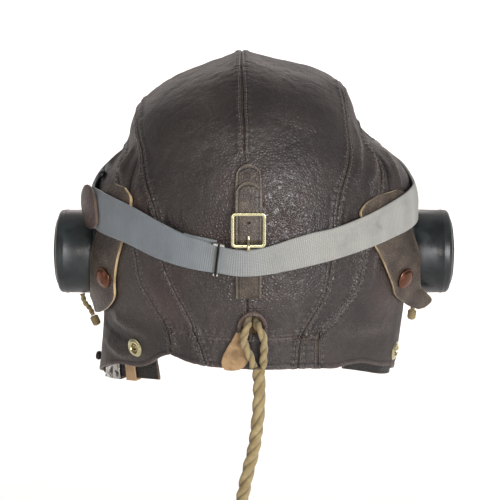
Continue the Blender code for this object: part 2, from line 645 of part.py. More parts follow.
def cord_slit():
    """The slit that the cord leaves by: a hole over the centre seam, its welt and a tan flap."""
    centre = Vector(back_place(SLIT_MIDDLE, SLIT_HEIGHT, 0))
    for word in ("left", "right"):
        crown = bpy.data.objects[f"crown_{word}"]
        cut_round_hole(crown, centre, Vector((0, 1, 0)), SLIT_HALF_WIDTH * MM, 24 * MM, 20)
        cutter = crown.modifiers["hole"].object
        stretch = Matrix.Diagonal((1, 1, SLIT_HALF_HEIGHT / SLIT_HALF_WIDTH, 1))
        cutter.data.transform(Matrix.Translation(centre) @ stretch @ Matrix.Translation(-centre))
    arch = np.linspace(pi, 0, 13)
    inner = [(SLIT_MIDDLE + (SLIT_HALF_WIDTH + 0.3) * cos(t),
              SLIT_HEIGHT + (SLIT_HALF_HEIGHT + 0.3) * sin(t)) for t in arch]
    outer = [(SLIT_MIDDLE + (SLIT_HALF_WIDTH + WELT_WIDTH) * cos(t),
              SLIT_HEIGHT + (SLIT_HALF_HEIGHT + WELT_WIDTH) * sin(t)) for t in arch]
    rows = []
    for line in (inner, outer):
        line = [(line[0][0], WELT_FOOT)] + line + [(line[-1][0], WELT_FOOT)]
        rows.append([[back_place(x, z, lift) for x, z in line] for lift in (0.5, 2.5)])
    rows = np.array(rows)
    slab("slit_welt", rows[:, 1], rows[:, 0], BROWN_LEATHER)
    middle = np.linspace(SLIT_FLAP_TOP_X, SLIT_FLAP_END_X, len(SLIT_FLAP))
    back_strip("slit_flap", SLIT_FLAP, middle, TAN_LEATHER)


# The goggle elastic: a row for each place round the head, with its width and lift in mm.
ElasticRow = namedtuple("ElasticRow", "around height width lift")
ELASTIC = (
    ElasticRow(-180, -51, 22, 1), ElasticRow(-150, -59, 22, 0.9), ElasticRow(-142, -64, 22, 0.9),
    ElasticRow(-134, -71, 22, 0.9), ElasticRow(-125, -79, 22, 0.9), ElasticRow(-115, -85.5, 22, 0.9),
    ElasticRow(-105, -90, 22, 0.9), ElasticRow(-98, -92.5, 22, 0.9), ElasticRow(-91, -94, 22.5, 0.9),
    ElasticRow(-84, -94.7, 23, 1.7), ElasticRow(-76, -98, 24, 3.6), ElasticRow(-66, -98, 25, 4.3),
    ElasticRow(-52, -99.5, 24.5, 3.9), ElasticRow(-38, -105, 23.5, 2.5),
    ElasticRow(-27, -108.5, 20.5, 2.3), ElasticRow(-18, -110.5, 18.5, 2.6),
    ElasticRow(-11, -112, 16.5, 3.2), ElasticRow(-4, -113.2, 16.3, 4), ElasticRow(1, -113.2, 16.3, 4),
    ElasticRow(7, -112.5, 16.8, 3), ElasticRow(13, -111, 18, 1.6), ElasticRow(24, -108, 20, 1),
    ElasticRow(35, -106.5, 19.8, 1.2), ElasticRow(42, -104.5, 20, 3.3), ElasticRow(49, -102.5, 20.5, 4),
    ElasticRow(58, -99.5, 22, 4), ElasticRow(67, -97.5, 23, 3.8), ElasticRow(76, -96.5, 23, 3),
    ElasticRow(84, -95, 22.5, 1.2), ElasticRow(91, -94.5, 22, 0.9), ElasticRow(98, -92.5, 22, 0.9),
    ElasticRow(105, -90, 22, 0.9), ElasticRow(115, -85.5, 22, 0.9), ElasticRow(125, -79, 22, 0.9),
    ElasticRow(134, -71, 22, 0.9), ElasticRow(142, -64, 22, 0.9), ElasticRow(150, -59, 22, 0.9),
    ElasticRow(180, -51, 22, 1),
)
ELASTIC_STATIONS = 72
FOLD_FROM, FOLD_TO = -28.0, -13.8
FOLD_RISE = 2.2
FOLD_THICKNESS = 1.2
SLIDER_AROUND = -12.0
SLIDER_HALF_HEIGHT = 9.5
SLIDER_HALF_DEPTH = 1.9
SLIDER_WIRE = 0.9 * MM


def elastic_band(around, layers, rise=0.0, columns=3):
    """Grids of the elastic at angles in degrees, one for each layer lifted above its lower face."""
    table = np.array(ELASTIC, dtype=float)
    height, width, lift = (hermite(table[:, 0], table[:, k], around) for k in (1, 2, 3))
    depth = SHELL.depth(height * MM)
    middle = SHELL.point(np.radians(around), depth)
    along_strap = np.gradient(middle, axis=0)
    up = np.cross(SHELL.normal(np.radians(around), depth), along_strap)
    up /= np.linalg.norm(up, axis=1, keepdims=True)
    share = np.linspace(-0.5, 0.5, columns)
    spread = middle[:, None] + up[:, None] * (share[None, :, None] * width[:, None, None] + rise) * MM
    return [settle(spread, (lift[:, None] + 0 * spread[..., 0] + layer) * MM) for layer in layers]


def goggle_elastic():
    """The elastic all round the helmet, its folded end and the wire slider that holds them."""
    around = np.linspace(-180, 180, ELASTIC_STATIONS + 1)[:-1]
    inner, outer = elastic_band(around, (0, ELASTIC_THICKNESS / MM))
    slab("goggle_elastic", outer, inner, GREY_ELASTIC, loop=True)
    around = np.linspace(FOLD_FROM, FOLD_TO, 5)
    table = np.array(ELASTIC, dtype=float)
    lift = hermite(table[:, 0], table[:, 3], around)[:, None, None]
    spread = elastic_band(around, (0,), FOLD_RISE)[0]
    inner = settle(spread, 0.5 * MM + 0 * spread[..., 0])
    outer = settle(spread, (0.5 + FOLD_THICKNESS) * MM + 0 * spread[..., 0])
    slab("elastic_fold", outer, inner, GREY_ELASTIC)
    near = elastic_band(np.array([SLIDER_AROUND - 1, SLIDER_AROUND, SLIDER_AROUND + 1]),
                        (ELASTIC_THICKNESS / MM / 2,))[0][:, 1]
    normal = np.array(spot(SLIDER_AROUND, -112)[1])
    up = np.cross(normal, near[2] - near[0])
    up /= np.linalg.norm(up)
    frame = [near[1] + (up * z + normal * n) * MM
             for z, n in rounded_frame(SLIDER_HALF_HEIGHT, SLIDER_HALF_DEPTH, 0.9)]
    wire("strap_slider", frame, SLIDER_WIRE, STEEL, cyclic=True)


# The chin strap inside the leather: the lift in mm is that of its outer face.
ChinRow = namedtuple("ChinRow", "around height lift")
CHIN_RIGHT = (
    ChinRow(46, -189, -2.5), ChinRow(55, -195, -2.5), ChinRow(65, -202, -2.5),
    ChinRow(77, -208, -2.5), ChinRow(90, -213, -2.5), ChinRow(100, -215, -2.6),
    ChinRow(107, -215.5, -2.8), ChinRow(113, -216, -3.2), ChinRow(118, -217, -4.2),
)
CHIN_LEFT = (
    ChinRow(-47, -197.5, -4.3), ChinRow(-55, -200, -4.3), ChinRow(-65, -203.5, -4.3),
    ChinRow(-78, -208, -4.3), ChinRow(-90, -212.5, -3.2), ChinRow(-100, -215, -2.6),
    ChinRow(-107, -216, -2.8), ChinRow(-113, -216.5, -3.2), ChinRow(-118, -217, -4.2),
)
UNDER_CHIN = ((66, 57, -219), (48, 71, -221.5), (26, 81, -223.5), (0, 85, -224), (-30, 81, -223.5),
              (-56, 69, -221.5), (-76, 54, -219))
SLEEVE_WALL = 1.1
SLEEVE_CLEAR = 0.45
BUCKLE_AROUND, BUCKLE_HALF_TURN = -70.5, 6.5
KEEPER_AROUND, KEEPER_HALF_TURN = -58.4, 2.2


def chin_edges(table, half_height, drops):
    """Upper, middle and lower points along rows on the leather, a grid for each drop in mm."""
    around, depth = np.radians(table[:, 0]), SHELL.depth(table[:, 1] * MM)
    middle = SHELL.point(around, depth)
    up = np.cross(SHELL.normal(around, depth), np.gradient(middle, axis=0))
    up /= np.linalg.norm(up, axis=1, keepdims=True)
    up *= np.sign(up[:, 2:])
    share = np.array([1, 0, -1])[None, :, None]
    spread = middle[:, None] + up[:, None] * share * half_height
    return [settle(spread, (table[:, 2:] - drop) * MM + 0 * spread[..., 0]) for drop in drops]


def chin_strap():
    """The chin strap as a whole loop, with its sliding buckle and keeper on the left."""
    drops = (0, CHIN_STRAP_THICKNESS / MM)
    right_outer, right_inner = chin_edges(np.array(CHIN_RIGHT), CHIN_STRAP_WIDTH / 2, drops)
    left_outer, left_inner = chin_edges(np.array(CHIN_LEFT), CHIN_STRAP_WIDTH / 2, drops)
    free = np.array(UNDER_CHIN, dtype=float) * MM
    way = np.gradient(free, axis=0)
    out = np.stack([way[:, 1], -way[:, 0], 0 * way[:, 0]], axis=-1)
    out *= np.sign(np.sum(out[:, :2] * free[:, :2], axis=1))[:, None]
    out /= np.linalg.norm(out, axis=1, keepdims=True)
    share = np.array([0.5, 0, -0.5])[None, :, None] * CHIN_STRAP_WIDTH
    spread = free[:, None] + np.array([0, 0, 1]) * share
    outer = np.concatenate([right_outer, spread, left_outer[::-1]])
    inner = np.concatenate([right_inner, spread - out[:, None] * CHIN_STRAP_THICKNESS,
                            left_inner[::-1]])
    stations = 2 * len(outer)
    outer = np.stack([along(outer[:, k], stations) for k in range(3)], axis=1)
    inner = np.stack([along(inner[:, k], stations) for k in range(3)], axis=1)
    slab("chin_strap", outer, inner, BLACK_LEATHER)
    sleeve("chin_buckle", BUCKLE_AROUND, BUCKLE_HALF_TURN, STEEL)
    sleeve("strap_keeper", KEEPER_AROUND, KEEPER_HALF_TURN, TAN_LEATHER)


def sleeve(name, around, half_turn, look):
    """A flat sleeve round the chin strap's left stretch, centred at an angle round the head."""
    table = np.array(CHIN_LEFT[::-1], dtype=float)
    stations = np.linspace(around - half_turn, around + half_turn, 5)
    rows = np.stack([stations] + [hermite(table[:, 0], table[:, k], stations) for k in (1, 2)], -1)
    rings = []
    for more in (SLEEVE_CLEAR, SLEEVE_CLEAR + SLEEVE_WALL):
        drops = (-more, CHIN_STRAP_THICKNESS / MM + more)
        front, back = chin_edges(rows, CHIN_STRAP_WIDTH / 2 + more * MM, drops)
        rings.append(np.concatenate([front.swapaxes(0, 1), back.swapaxes(0, 1)[::-1]]))
    slab(name, rings[1], rings[0], look, loop=True)


# Cords: the places that each runs through, as x, height and lift on the back, then free.
BRANCH_LEFT = ((-3.8, -155.6, -7), (-3.8, -155.6, -1), (-4.1, -155.4, 3.2), (-5.2, -157.5, 6),
               (-6.2, -162, 6.1), (-5.6, -167.5, 5.6), (-3.6, -173, 5.4), (-1.6, -178.5, 5.2),
               (-0.4, -183.5, 5.1))
BRANCH_RIGHT = ((1.8, -155.6, -7), (1.8, -155.6, -1), (2.1, -155.4, 3.2), (3.8, -157.5, 6),
                (5.2, -162, 6.1), (5.7, -167.5, 5.6), (5.6, -173, 5.4), (5.4, -178.5, 5.2),
                (5.3, -183.5, 5.1))
CORD_TOP = (2.5, -184.3, 5.1)
CORD_HANG = ((3.3, -100.6, -196), (2.8, -101, -210), (1.6, -101.2, -223), (-0.4, -101.5, -237),
             (-3.8, -101.8, -251), (-6.4, -102, -264), (-9, -102.3, -280), (-11.4, -103, -303),
             (-12.2, -103.7, -335), (-11, -104.2, -370), (-8.8, -104, -405), (-7, -103.2, -438),
             (-6.2, -102.4, -464))
CORD_STATIONS = 24
BRANCH_STATIONS = 11
LEAD_STATIONS = 6
PLUG_LENGTH = 60 * MM
LEAD_LEFT = ((-117, -5, -162.7), (-115.4, -5.8, -168.5), (-111.5, -7.5, -173), (-109.6, -8.5, -177))
LEAD_RIGHT = ((111, 9, -162.2), (111.2, 8.2, -167), (110, 4.5, -172.5), (109.2, 2, -176))
KNOT_PROFILE = (
    (0, 0.3 * MM), (2.2 * MM, 0.3 * MM), (3 * MM, 1.6 * MM), (3 * MM, 6 * MM), (2.2 * MM, 7.4 * MM),
    (0, 7.4 * MM),
)


def cords():
    """The two branches out of the slit, the hanging cord and its plug, and the ear leads."""
    for word, route in (("left", BRANCH_LEFT), ("right", BRANCH_RIGHT)):
        places = along([back_place(*place) for place in route], BRANCH_STATIONS)
        wire(f"cord_branch_{word}", places, BRANCH_RADIUS, KHAKI_COTTON)
    hang = [back_place(*CORD_TOP)] + [np.array(p) * MM for p in CORD_HANG]
    places = along(hang, CORD_STATIONS)
    wire("cord_main", places, CORD_RADIUS, KHAKI_COTTON, resolution=3)
    plug = ((0, GAP), (5 * MM, GAP), (6.5 * MM, 4 * MM), (8.5 * MM, 12 * MM), (8.5 * MM, 26 * MM),
            (7 * MM, 30 * MM), (7 * MM, 44 * MM), (3.4 * MM, 45 * MM), (3.4 * MM, PLUG_LENGTH - 2 * MM),
            (2 * MM, PLUG_LENGTH), (0, PLUG_LENGTH))
    turned("cord_plug", plug, places[-1], places[-1] - places[-2], 16, BLACK_RUBBER)
    for word, route in (("left", LEAD_LEFT), ("right", LEAD_RIGHT)):
        places = along(np.array(route, dtype=float) * MM, LEAD_STATIONS)
        wire(f"ear_lead_{word}", places, LEAD_RADIUS, KHAKI_COTTON)
        turned(f"lead_knot_{word}", KNOT_PROFILE, places[-1], places[-1] - places[-2], 10,
               KHAKI_COTTON)


def main():
    """Clears the scene and builds the helmet, piece by piece."""
    for thing in list(bpy.data.objects):
        bpy.data.objects.remove(thing, do_unlink=True)
    leather_panels()
    ear_cups()
    ear_fittings()
    rear_buckle()
    cord_slit()
    goggle_elastic()
    chin_strap()
    cords()


main()
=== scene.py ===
"""Looks of the leather flying helmet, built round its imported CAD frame.

Metres, +Z up, +X the wearer's right and +Y the wearer's front. The origin is the top of the
head, under the crown. The photograph looks at the back of the helmet, along +Y.

The leather is one smooth surface, cut into panels along its seams. A place on it is an angle
around the head, 0 at the back and 180 at the front with + on the wearer's right, and a height.
"""

import logging
from dataclasses import dataclass
from enum import Enum
from math import cos, pi, radians, sin
from typing import NamedTuple, Sequence

import bpy
import numpy as np
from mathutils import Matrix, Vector


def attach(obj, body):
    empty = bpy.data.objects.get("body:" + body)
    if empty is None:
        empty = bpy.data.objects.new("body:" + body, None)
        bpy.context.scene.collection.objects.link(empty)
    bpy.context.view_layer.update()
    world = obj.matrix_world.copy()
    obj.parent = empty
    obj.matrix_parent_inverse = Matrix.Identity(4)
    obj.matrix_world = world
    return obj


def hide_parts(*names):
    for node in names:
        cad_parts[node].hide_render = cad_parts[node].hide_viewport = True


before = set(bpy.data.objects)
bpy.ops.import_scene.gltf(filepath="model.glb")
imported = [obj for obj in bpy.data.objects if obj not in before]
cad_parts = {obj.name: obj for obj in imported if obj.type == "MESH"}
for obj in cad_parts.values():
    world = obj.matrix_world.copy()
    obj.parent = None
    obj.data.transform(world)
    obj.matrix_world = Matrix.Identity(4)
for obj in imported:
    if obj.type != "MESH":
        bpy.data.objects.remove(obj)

LOG = logging.getLogger("helmet")
MM = 0.001
BODY = "root"
Array = np.ndarray
Object = bpy.types.Object
Material = bpy.types.Material


class Level(NamedTuple):
    """Reach of the leather at one height below the crown, in millimetres."""

    height: float
    left: float
    right: float
    back: float
    front: float
    middle: float
    left_pocket: float
    right_pocket: float


class Place(NamedTuple):
    """A place on the leather: angle round the head in degrees, height in millimetres."""

    around: float
    height: float


def rows_of(kind: type[tuple], *rows: Sequence[float]) -> tuple:
    """Rows of plain numbers as rows of one kind, such as Level or Place."""
    return tuple(kind(*row) for row in rows)


LEVELS = rows_of(Level,
    (0, 8, -8, 0, 0, -8, 0, 0), (-2, 14.5, -1, 22, 20, -8, 0, 0), (-6, 23, 13, 38, 35, -8, 0, 0),
    (-11, 36, 30, 52, 48, -7.5, 0, 0), (-18, 52, 50, 66, 61, -7, 0, 0),
    (-26, 65, 60, 77, 71, -7, 0, 0), (-36, 76, 65, 87, 80, -6, 0, 0), (-47, 81, 69, 94, 87, -6, 0, 0),
    (-58, 82, 73, 100, 92, -5, 1, 3), (-71, 83, 77, 105, 96, -5, 9, 17),
    (-85, 86, 82, 108, 98, -5, 17, 22), (-110, 86, 85, 109, 98, -4, 18, 21),
    (-138, 85, 85, 106, 97, -4, 17, 19), (-167, 83, 83, 98, 94, -4, 19, 19),
    (-192, 81, 80, 94, 90, -3, 23, 20), (-232, 78, 76, 93, 85, -3, 31, 18))


def hermite(knots: Array, values: Array, at: Array) -> Array:
    """Smooth curve through values at knots: a cubic in each span with mean slopes at its ends.

    Args:
        knots: rising positions of the known values.
        values: one value at each knot.
        at: positions to read the curve at.

    Returns:
        The curve's values at those positions.
    """
    slopes = np.gradient(values, knots)
    index = np.clip(np.searchsorted(knots, at, side="right") - 1, 0, len(knots) - 2)
    span = knots[index + 1] - knots[index]
    t = (at - knots[index]) / span
    start = (1 + 2 * t) * (1 - t) ** 2 * values[index] + t * (1 - t) ** 2 * span * slopes[index]
    end = t * t * (3 - 2 * t) * values[index + 1] + t * t * (t - 1) * span * slopes[index + 1]
    return start + end


@dataclass
class HeadForm:
    """The leather's outer surface as a function of the angle and the depth below the crown.

    The depth runs from 0 at the crown to 1 at the lowest level, in proportion to the way down
    the leather. The rows are mirrored past the crown, so that the top is smooth.
    """

    levels: Sequence[Level] = LEVELS
    pocket_middle: float = 91.0
    pocket_spread: float = 40.0
    squareness: float = 0.035
    crown_top: float = 2.3 * MM

    def __post_init__(self) -> None:
        """Turns the rows into smooth columns over the depth."""
        rows = np.array(self.levels, dtype=float) * MM
        height, left, right, back, front, middle, left_pocket, right_pocket = rows.T
        columns = [left + middle, right - middle, back, front]
        steps = np.sqrt(np.diff(height) ** 2 + np.diff((back + left) / 2) ** 2)
        way = np.concatenate([[0], np.cumsum(steps)])
        way /= way[-1]
        odd = [np.concatenate([-c[:0:-1], c]) for c in columns]
        even = [np.concatenate([c[:0:-1], c]) for c in (height, middle, left_pocket, right_pocket)]
        self.knots = np.concatenate([-way[:0:-1], way])
        self.columns = odd + even
        self.fine_depth = np.linspace(0, 1, 1200)
        self.fine_height = hermite(self.knots, even[0], self.fine_depth)

    def depth(self, height_mm: Array) -> Array:
        """Depth of a height in millimetres."""
        height = np.asarray(height_mm, dtype=float) * MM
        return np.interp(-height, -self.fine_height, self.fine_depth)

    def height(self, depth: Array) -> Array:
        """Height in millimetres of a depth."""
        return np.interp(depth, self.fine_depth, self.fine_height) / MM

    def point(self, around: Array, depth: Array) -> Array:
        """Points on the surface: a squared ellipse at each depth, with the ear pockets added.

        Across, the half width times the sine of the angle, and the pockets stand out by a
        flat-topped bell round their middle. Back, the half length times the cosine.

        Args:
            around: angles in radians.
            depth: depths, 0 to 1.

        Returns:
            An array that ends in x, y, z.
        """
        around, depth = np.broadcast_arrays(np.asarray(around, float), np.asarray(depth, float))
        left, right, back, front, height, middle, pocket_l, pocket_r = (
            hermite(self.knots, column, depth) for column in self.columns)
        s, c = np.sin(around), np.cos(around)
        square = 1 + self.squareness * np.sin(2 * around) ** 2
        angle = np.degrees(np.abs((around + pi) % (2 * pi) - pi))
        pocket = np.exp(-((angle - self.pocket_middle) / self.pocket_spread) ** 4)
        reach = np.where(s < 0, left * square + pocket_l * pocket, right * square + pocket_r * pocket)
        y = -np.where(c > 0, back, front) * square * c
        return np.stack([middle + reach * s, y, height + self.crown_top], axis=-1)

    def normal(self, around: Array, depth: Array) -> Array:
        """Outward unit normals: the cross product of small steps down and across."""
        depth = np.maximum(depth, 0.004)
        step = 0.002
        turn = step / depth
        down = self.point(around, depth + step) - self.point(around, depth - step)
        across = self.point(around + turn, depth) - self.point(around - turn, depth)
        return unit(np.cross(down, across))

    def lifted(self, around: Array, depth: Array, lift_mm: Array) -> Array:
        """Points a distance in millimetres off the surface."""
        lift = np.asarray(lift_mm, dtype=float)[..., None] * MM
        return self.point(around, depth) + self.normal(around, depth) * lift

    def settle(self, points: Array, lift_mm: Array) -> Array:
        """Moves points straight out or in onto the leather at their own height, then lifts them.

        The angle is corrected a few times by what it misses of the point's own direction.
        """
        depth = self.depth((points[..., 2] - self.crown_top) / MM)
        goal = np.arctan2(points[..., 0], -points[..., 1])
        around = goal.copy()
        for _ in range(8):
            on = self.point(around, depth)
            miss = goal - np.arctan2(on[..., 0], -on[..., 1])
            around = around + (miss + pi) % (2 * pi) - pi
        return self.lifted(around, depth, lift_mm)

    def back_angle(self, x: Array, depth: Array) -> Array:
        """Angle in radians at which the back has an x in metres, by halving the range 40 times."""
        low, high = np.full(np.shape(x), -1.3), np.full(np.shape(x), 1.3)
        for _ in range(40):
            middle = (low + high) / 2
            over = self.point(middle, depth)[..., 0] > x
            low, high = np.where(over, low, middle), np.where(over, middle, high)
        return (low + high) / 2

    def back_place(self, x_mm: Array, height_mm: Array, lift_mm: Array) -> Array:
        """Points on the back of the helmet at an x and a height, lifted off it, in millimetres."""
        depth = self.depth(height_mm)
        x, depth = np.broadcast_arrays(np.asarray(x_mm, float) * MM, depth)
        return self.lifted(self.back_angle(x, depth), depth, lift_mm)


def unit(vectors: Array) -> Array:
    """Vectors at length 1."""
    return vectors / np.maximum(np.linalg.norm(vectors, axis=-1, keepdims=True), 1e-12)


FORM = HeadForm()


def flat_plan(places: Sequence[Place]) -> Array:
    """Places as points of a flat plan of the leather: the crown at 0, the depth as radius."""
    table = np.array(places, dtype=float)
    angles, depths = np.radians(table[:, 0]), FORM.depth(table[:, 1])
    return np.stack([depths * np.sin(angles), depths * np.cos(angles)], axis=-1)


def from_plan(plan: Array) -> tuple[Array, Array]:
    """Angle and depth of points of the flat plan."""
    return np.arctan2(plan[..., 0], plan[..., 1]), np.hypot(plan[..., 0], plan[..., 1])


def along(points: Array, count: int) -> Array:
    """A smooth curve through the points, as count points at even steps."""
    points = np.asarray(points, dtype=float)
    way = np.concatenate([[0], np.cumsum(np.linalg.norm(np.diff(points, axis=0), axis=1))])
    fine = np.linspace(0, way[-1], 600)
    curve = np.stack([hermite(way, column, fine) for column in points.T], axis=-1)
    return respaced(curve, np.linspace(0, 1, count))


def respaced(curve: Array, shares: Array) -> Array:
    """Points of a curve at shares of its length, 0 to 1."""
    length = np.concatenate([[0], np.cumsum(np.linalg.norm(np.diff(curve, axis=0), axis=1))])
    return np.stack([np.interp(shares * length[-1], length, column) for column in curve.T], axis=-1)


def close_at_ends(count: int, closeness: float = 0.8) -> Array:
    """Shares 0 to 1 with smaller steps at both ends: u minus a part of sin(2 pi u) / (2 pi)."""
    u = np.linspace(0, 1, count)
    return u - closeness * np.sin(2 * pi * u) / (2 * pi)


def patch(start: Array, end: Array, first: Array, last: Array, u: Array, w: Array) -> Array:
    """Grid filled in between four edges: the two blends of facing edges, less the corners' blend.

    Args:
        start: edge at u = 0, a point for each w.
        end: edge at u = 1.
        first: edge at w = 0, a point for each u.
        last: edge at w = 1.
        u: shares from start to end.
        w: shares from first to last.

    Returns:
        Points, with u as rows and w as columns.
    """
    u, w = u[:, None, None], w[None, :, None]
    sides = (1 - u) * start[None] + u * end[None]
    ends = (1 - w) * first[:, None] + w * last[:, None]
    corners = ((1 - u) * (1 - w) * start[0] + u * (1 - w) * end[0]
               + (1 - u) * w * start[-1] + u * w * end[-1])
    return sides + ends - corners


def pinned(curve: Array, start: Array, end: Array) -> Array:
    """The curve with its ends moved to start and end, and the move shared out along it."""
    share = np.linspace(0, 1, len(curve))[:, None]
    return curve + (1 - share) * (start - curve[0]) + share * (end - curve[-1])


def nearest(points: Array, line: Array) -> tuple[Array, Array]:
    """Distance of points to a close row of points, and the way along the row to the nearest one.

    Squared distance is |p|^2 + |q|^2 - 2 p.q, worked out in blocks.

    Args:
        points: points, any shape that ends in xyz, in metres.
        line: the row of points, in metres.

    Returns:
        The distance and the way along the line, both in millimetres.
    """
    flat = points.reshape(-1, 3)
    way = np.concatenate([[0], np.cumsum(np.linalg.norm(np.diff(line, axis=0), axis=1))])
    distance, place = np.empty(len(flat)), np.empty(len(flat))
    own = (line ** 2).sum(axis=1)
    for block in np.array_split(np.arange(len(flat)), max(1, len(flat) // 6000)):
        squared = (flat[block] ** 2).sum(axis=1)[:, None] + own - 2 * flat[block] @ line.T
        index = squared.argmin(axis=1)
        distance[block] = np.sqrt(np.maximum(squared[np.arange(len(block)), index], 0))
        place[block] = way[index]
    shape = points.shape[:-1]
    return distance.reshape(shape) / MM, place.reshape(shape) / MM


@dataclass(frozen=True)
class Noise:
    """Smooth value noise: random numbers on a lattice in space, with an eased blend between."""

    seed: int
    size: int = 48

    def at(self, places: Array, step_mm: float) -> Array:
        """Noise from -1 to 1; the lattice repeats.

        The eight numbers round a place are blended along each axis in turn by t^2 (3 - 2 t).

        Args:
            places: points that end in xyz, in metres.
            step_mm: spacing of the lattice in millimetres.
        """
        table = np.random.default_rng(self.seed).random((self.size,) * 3)
        at = np.asarray(places) / (step_mm * MM)
        low = np.floor(at).astype(int)
        share = at - low
        share = share * share * (3 - 2 * share)
        low, high = low % self.size, (low + 1) % self.size
        total = 0.0
        for corner in range(8):
            picks = [(corner >> axis) & 1 for axis in range(3)]
            x, y, z = (high[..., k] if pick else low[..., k] for k, pick in enumerate(picks))
            weight = np.prod([share[..., k] if pick else 1 - share[..., k]
                              for k, pick in enumerate(picks)], axis=0)
            total = total + table[x, y, z] * weight
        return 2 * total - 1


def smooth_step(low: float, high: float, at: Array) -> Array:
    """0 below low, 1 above high and an eased rise between; falls where low is above high."""
    t = np.clip((at - low) / (high - low), 0, 1)
    return t * t * (3 - 2 * t)


@dataclass
class Shape:
    """Points and faces of one part of a piece.

    Attributes:
        points: places in metres.
        faces: rows of point numbers, counted from 0, seen anticlockwise from outside.
        look: number of the piece's material that the faces take.
        uv: a place on the cloth or cord for each point, in millimetres along and across.
        marks: named numbers for each point, such as its wear, that the material reads.
    """

    points: Array
    faces: list
    look: int = 0
    uv: Array | None = None
    marks: dict[str, Array] | None = None


def grid_faces(rows: int, columns: int, loop_rows: bool = False, loop_columns: bool = False) -> Array:
    """Quads of a grid numbered row by row, outward where rows run down and columns to the right.

    Args:
        rows: number of rows.
        columns: number of columns.
        loop_rows: whether the last row joins the first.
        loop_columns: whether the last column joins the first.

    Returns:
        Four point numbers for each quad.
    """
    i = np.arange(rows if loop_rows else rows - 1)[:, None]
    j = np.arange(columns if loop_columns else columns - 1)[None, :]
    down, right = (i + 1) % rows, (j + 1) % columns
    quads = np.broadcast_arrays(i * columns + j, down * columns + j, down * columns + right,
                                i * columns + right)
    return np.stack(quads, axis=-1).reshape(-1, 4)


def facing(points: Array, quads: Array, normals: Array) -> Array:
    """The quads, turned over where they look against the given normals on average."""
    a, b, c, d = (points[quads[:, k]] for k in range(4))
    look = (np.cross(c - a, d - b) * normals[quads[:, 0]]).sum()
    return quads if look > 0 else quads[:, ::-1]


def point_normals(points: Array, quads: Array) -> Array:
    """Unit normals of points: the sum of the cross products of the quads' diagonals round each."""
    a, b, c, d = (points[quads[:, k]] for k in range(4))
    cross = np.cross(c - a, d - b)
    total = np.zeros_like(points)
    for corner in range(4):
        np.add.at(total, quads[:, corner], cross)
    return unit(total)


def slab(points: Array, quads: Array, normals: Array, thickness_mm: float, rounding_mm: float = 0.3,
         uv: Array | None = None, marks: dict[str, Array] | None = None) -> list[Shape]:
    """A sheet with a thickness and rounded edges: its outer side, its inner side and its rims.

    The inner side is the outer one, moved back along the normals. At each edge that only one
    quad uses, rows of points run round the edge from one side to the other, on two small arcs.

    Args:
        points: the outer side's points.
        quads: the outer side's quads.
        normals: an outward unit normal for each point.
        thickness_mm: thickness.
        rounding_mm: radius of the rounded edges.
        uv: a place for each point.
        marks: named numbers for each point.

    Returns:
        The outer side as look 0, the inner side as look 1 and the rim as look 2.
    """
    quads = facing(points, quads, normals)
    edges = np.stack([quads, np.roll(quads, -1, axis=1)], axis=-1).reshape(-1, 2)
    owner = np.repeat(np.arange(len(quads)), 4)
    key = np.sort(edges, axis=1) @ np.array([len(points), 1])
    _, first, count = np.unique(key, return_index=True, return_counts=True)
    rim_edges, rim_owner = edges[first[count == 1]], owner[first[count == 1]]
    rim = np.unique(rim_edges)
    inward = np.zeros_like(points)
    centres = points[quads].mean(axis=1)
    for end in range(2):
        np.add.at(inward, rim_edges[:, end], centres[rim_owner] - points[rim_edges[:, end]])
    inward = unit(inward - (inward * normals).sum(axis=1, keepdims=True) * normals)[rim]
    edge, out = points[rim], normals[rim]
    thickness, radius = thickness_mm * MM, rounding_mm * MM
    arc = 1 - np.sqrt(0.5)
    stations = [(1.0, 0.0), (arc, arc * radius), (0.0, radius), (0.0, thickness - radius),
                (arc, thickness - arc * radius), (1.0, thickness)]
    rows = [edge + inward * share * radius - out * down for share, down in stations]
    outer, inner = points.copy(), points - normals * thickness
    outer[rim], inner[rim] = rows[0], rows[-1]
    number = np.zeros(len(points), dtype=int)
    number[rim] = np.arange(len(rim))
    a, b = number[rim_edges[:, 0]], number[rim_edges[:, 1]]
    strips = [np.stack([b + k * len(rim), a + k * len(rim), a + (k + 1) * len(rim),
                        b + (k + 1) * len(rim)], axis=-1) for k in range(len(rows) - 1)]
    rim_uv = None if uv is None else np.tile(uv[rim], (len(rows), 1))
    rim_marks = {name: np.tile(values[rim], len(rows)) for name, values in (marks or {}).items()}
    return [Shape(outer, quads.tolist(), 0, uv, marks),
            Shape(inner, quads[:, ::-1].tolist(), 1, uv, marks),
            Shape(np.concatenate(rows), np.concatenate(strips).tolist(), 2, rim_uv, rim_marks)]


def open_hole(points: Array, quads: Array, share: Array, centre: Array,
              axis: Array) -> tuple[Array, Array]:
    """Opens a round or oval hole: quads inside it go, and points left inside move out to its edge.

    Args:
        points: the points.
        quads: the quads.
        share: each point's distance from the hole's axis, as a share of the hole's reach there.
        centre: a point on the hole's axis.
        axis: unit vector along the hole.

    Returns:
        The moved points and the quads that are left.
    """
    left = quads[(share[quads] >= 1).any(axis=1)]
    offset = points - centre
    along_axis = (offset @ axis)[:, None] * axis
    across = offset - along_axis
    grown = centre + along_axis + across / np.maximum(share, 1e-6)[:, None]
    return np.where(share[:, None] < 1, grown, points), left


def tidy(shape: Shape) -> Shape:
    """The shape without points that no face uses."""
    faces = np.array(shape.faces)
    used, renumbered = np.unique(faces, return_inverse=True)
    marks = {name: values[used] for name, values in (shape.marks or {}).items()}
    return Shape(shape.points[used], renumbered.reshape(faces.shape).tolist(), shape.look,
                 None if shape.uv is None else shape.uv[used], marks)


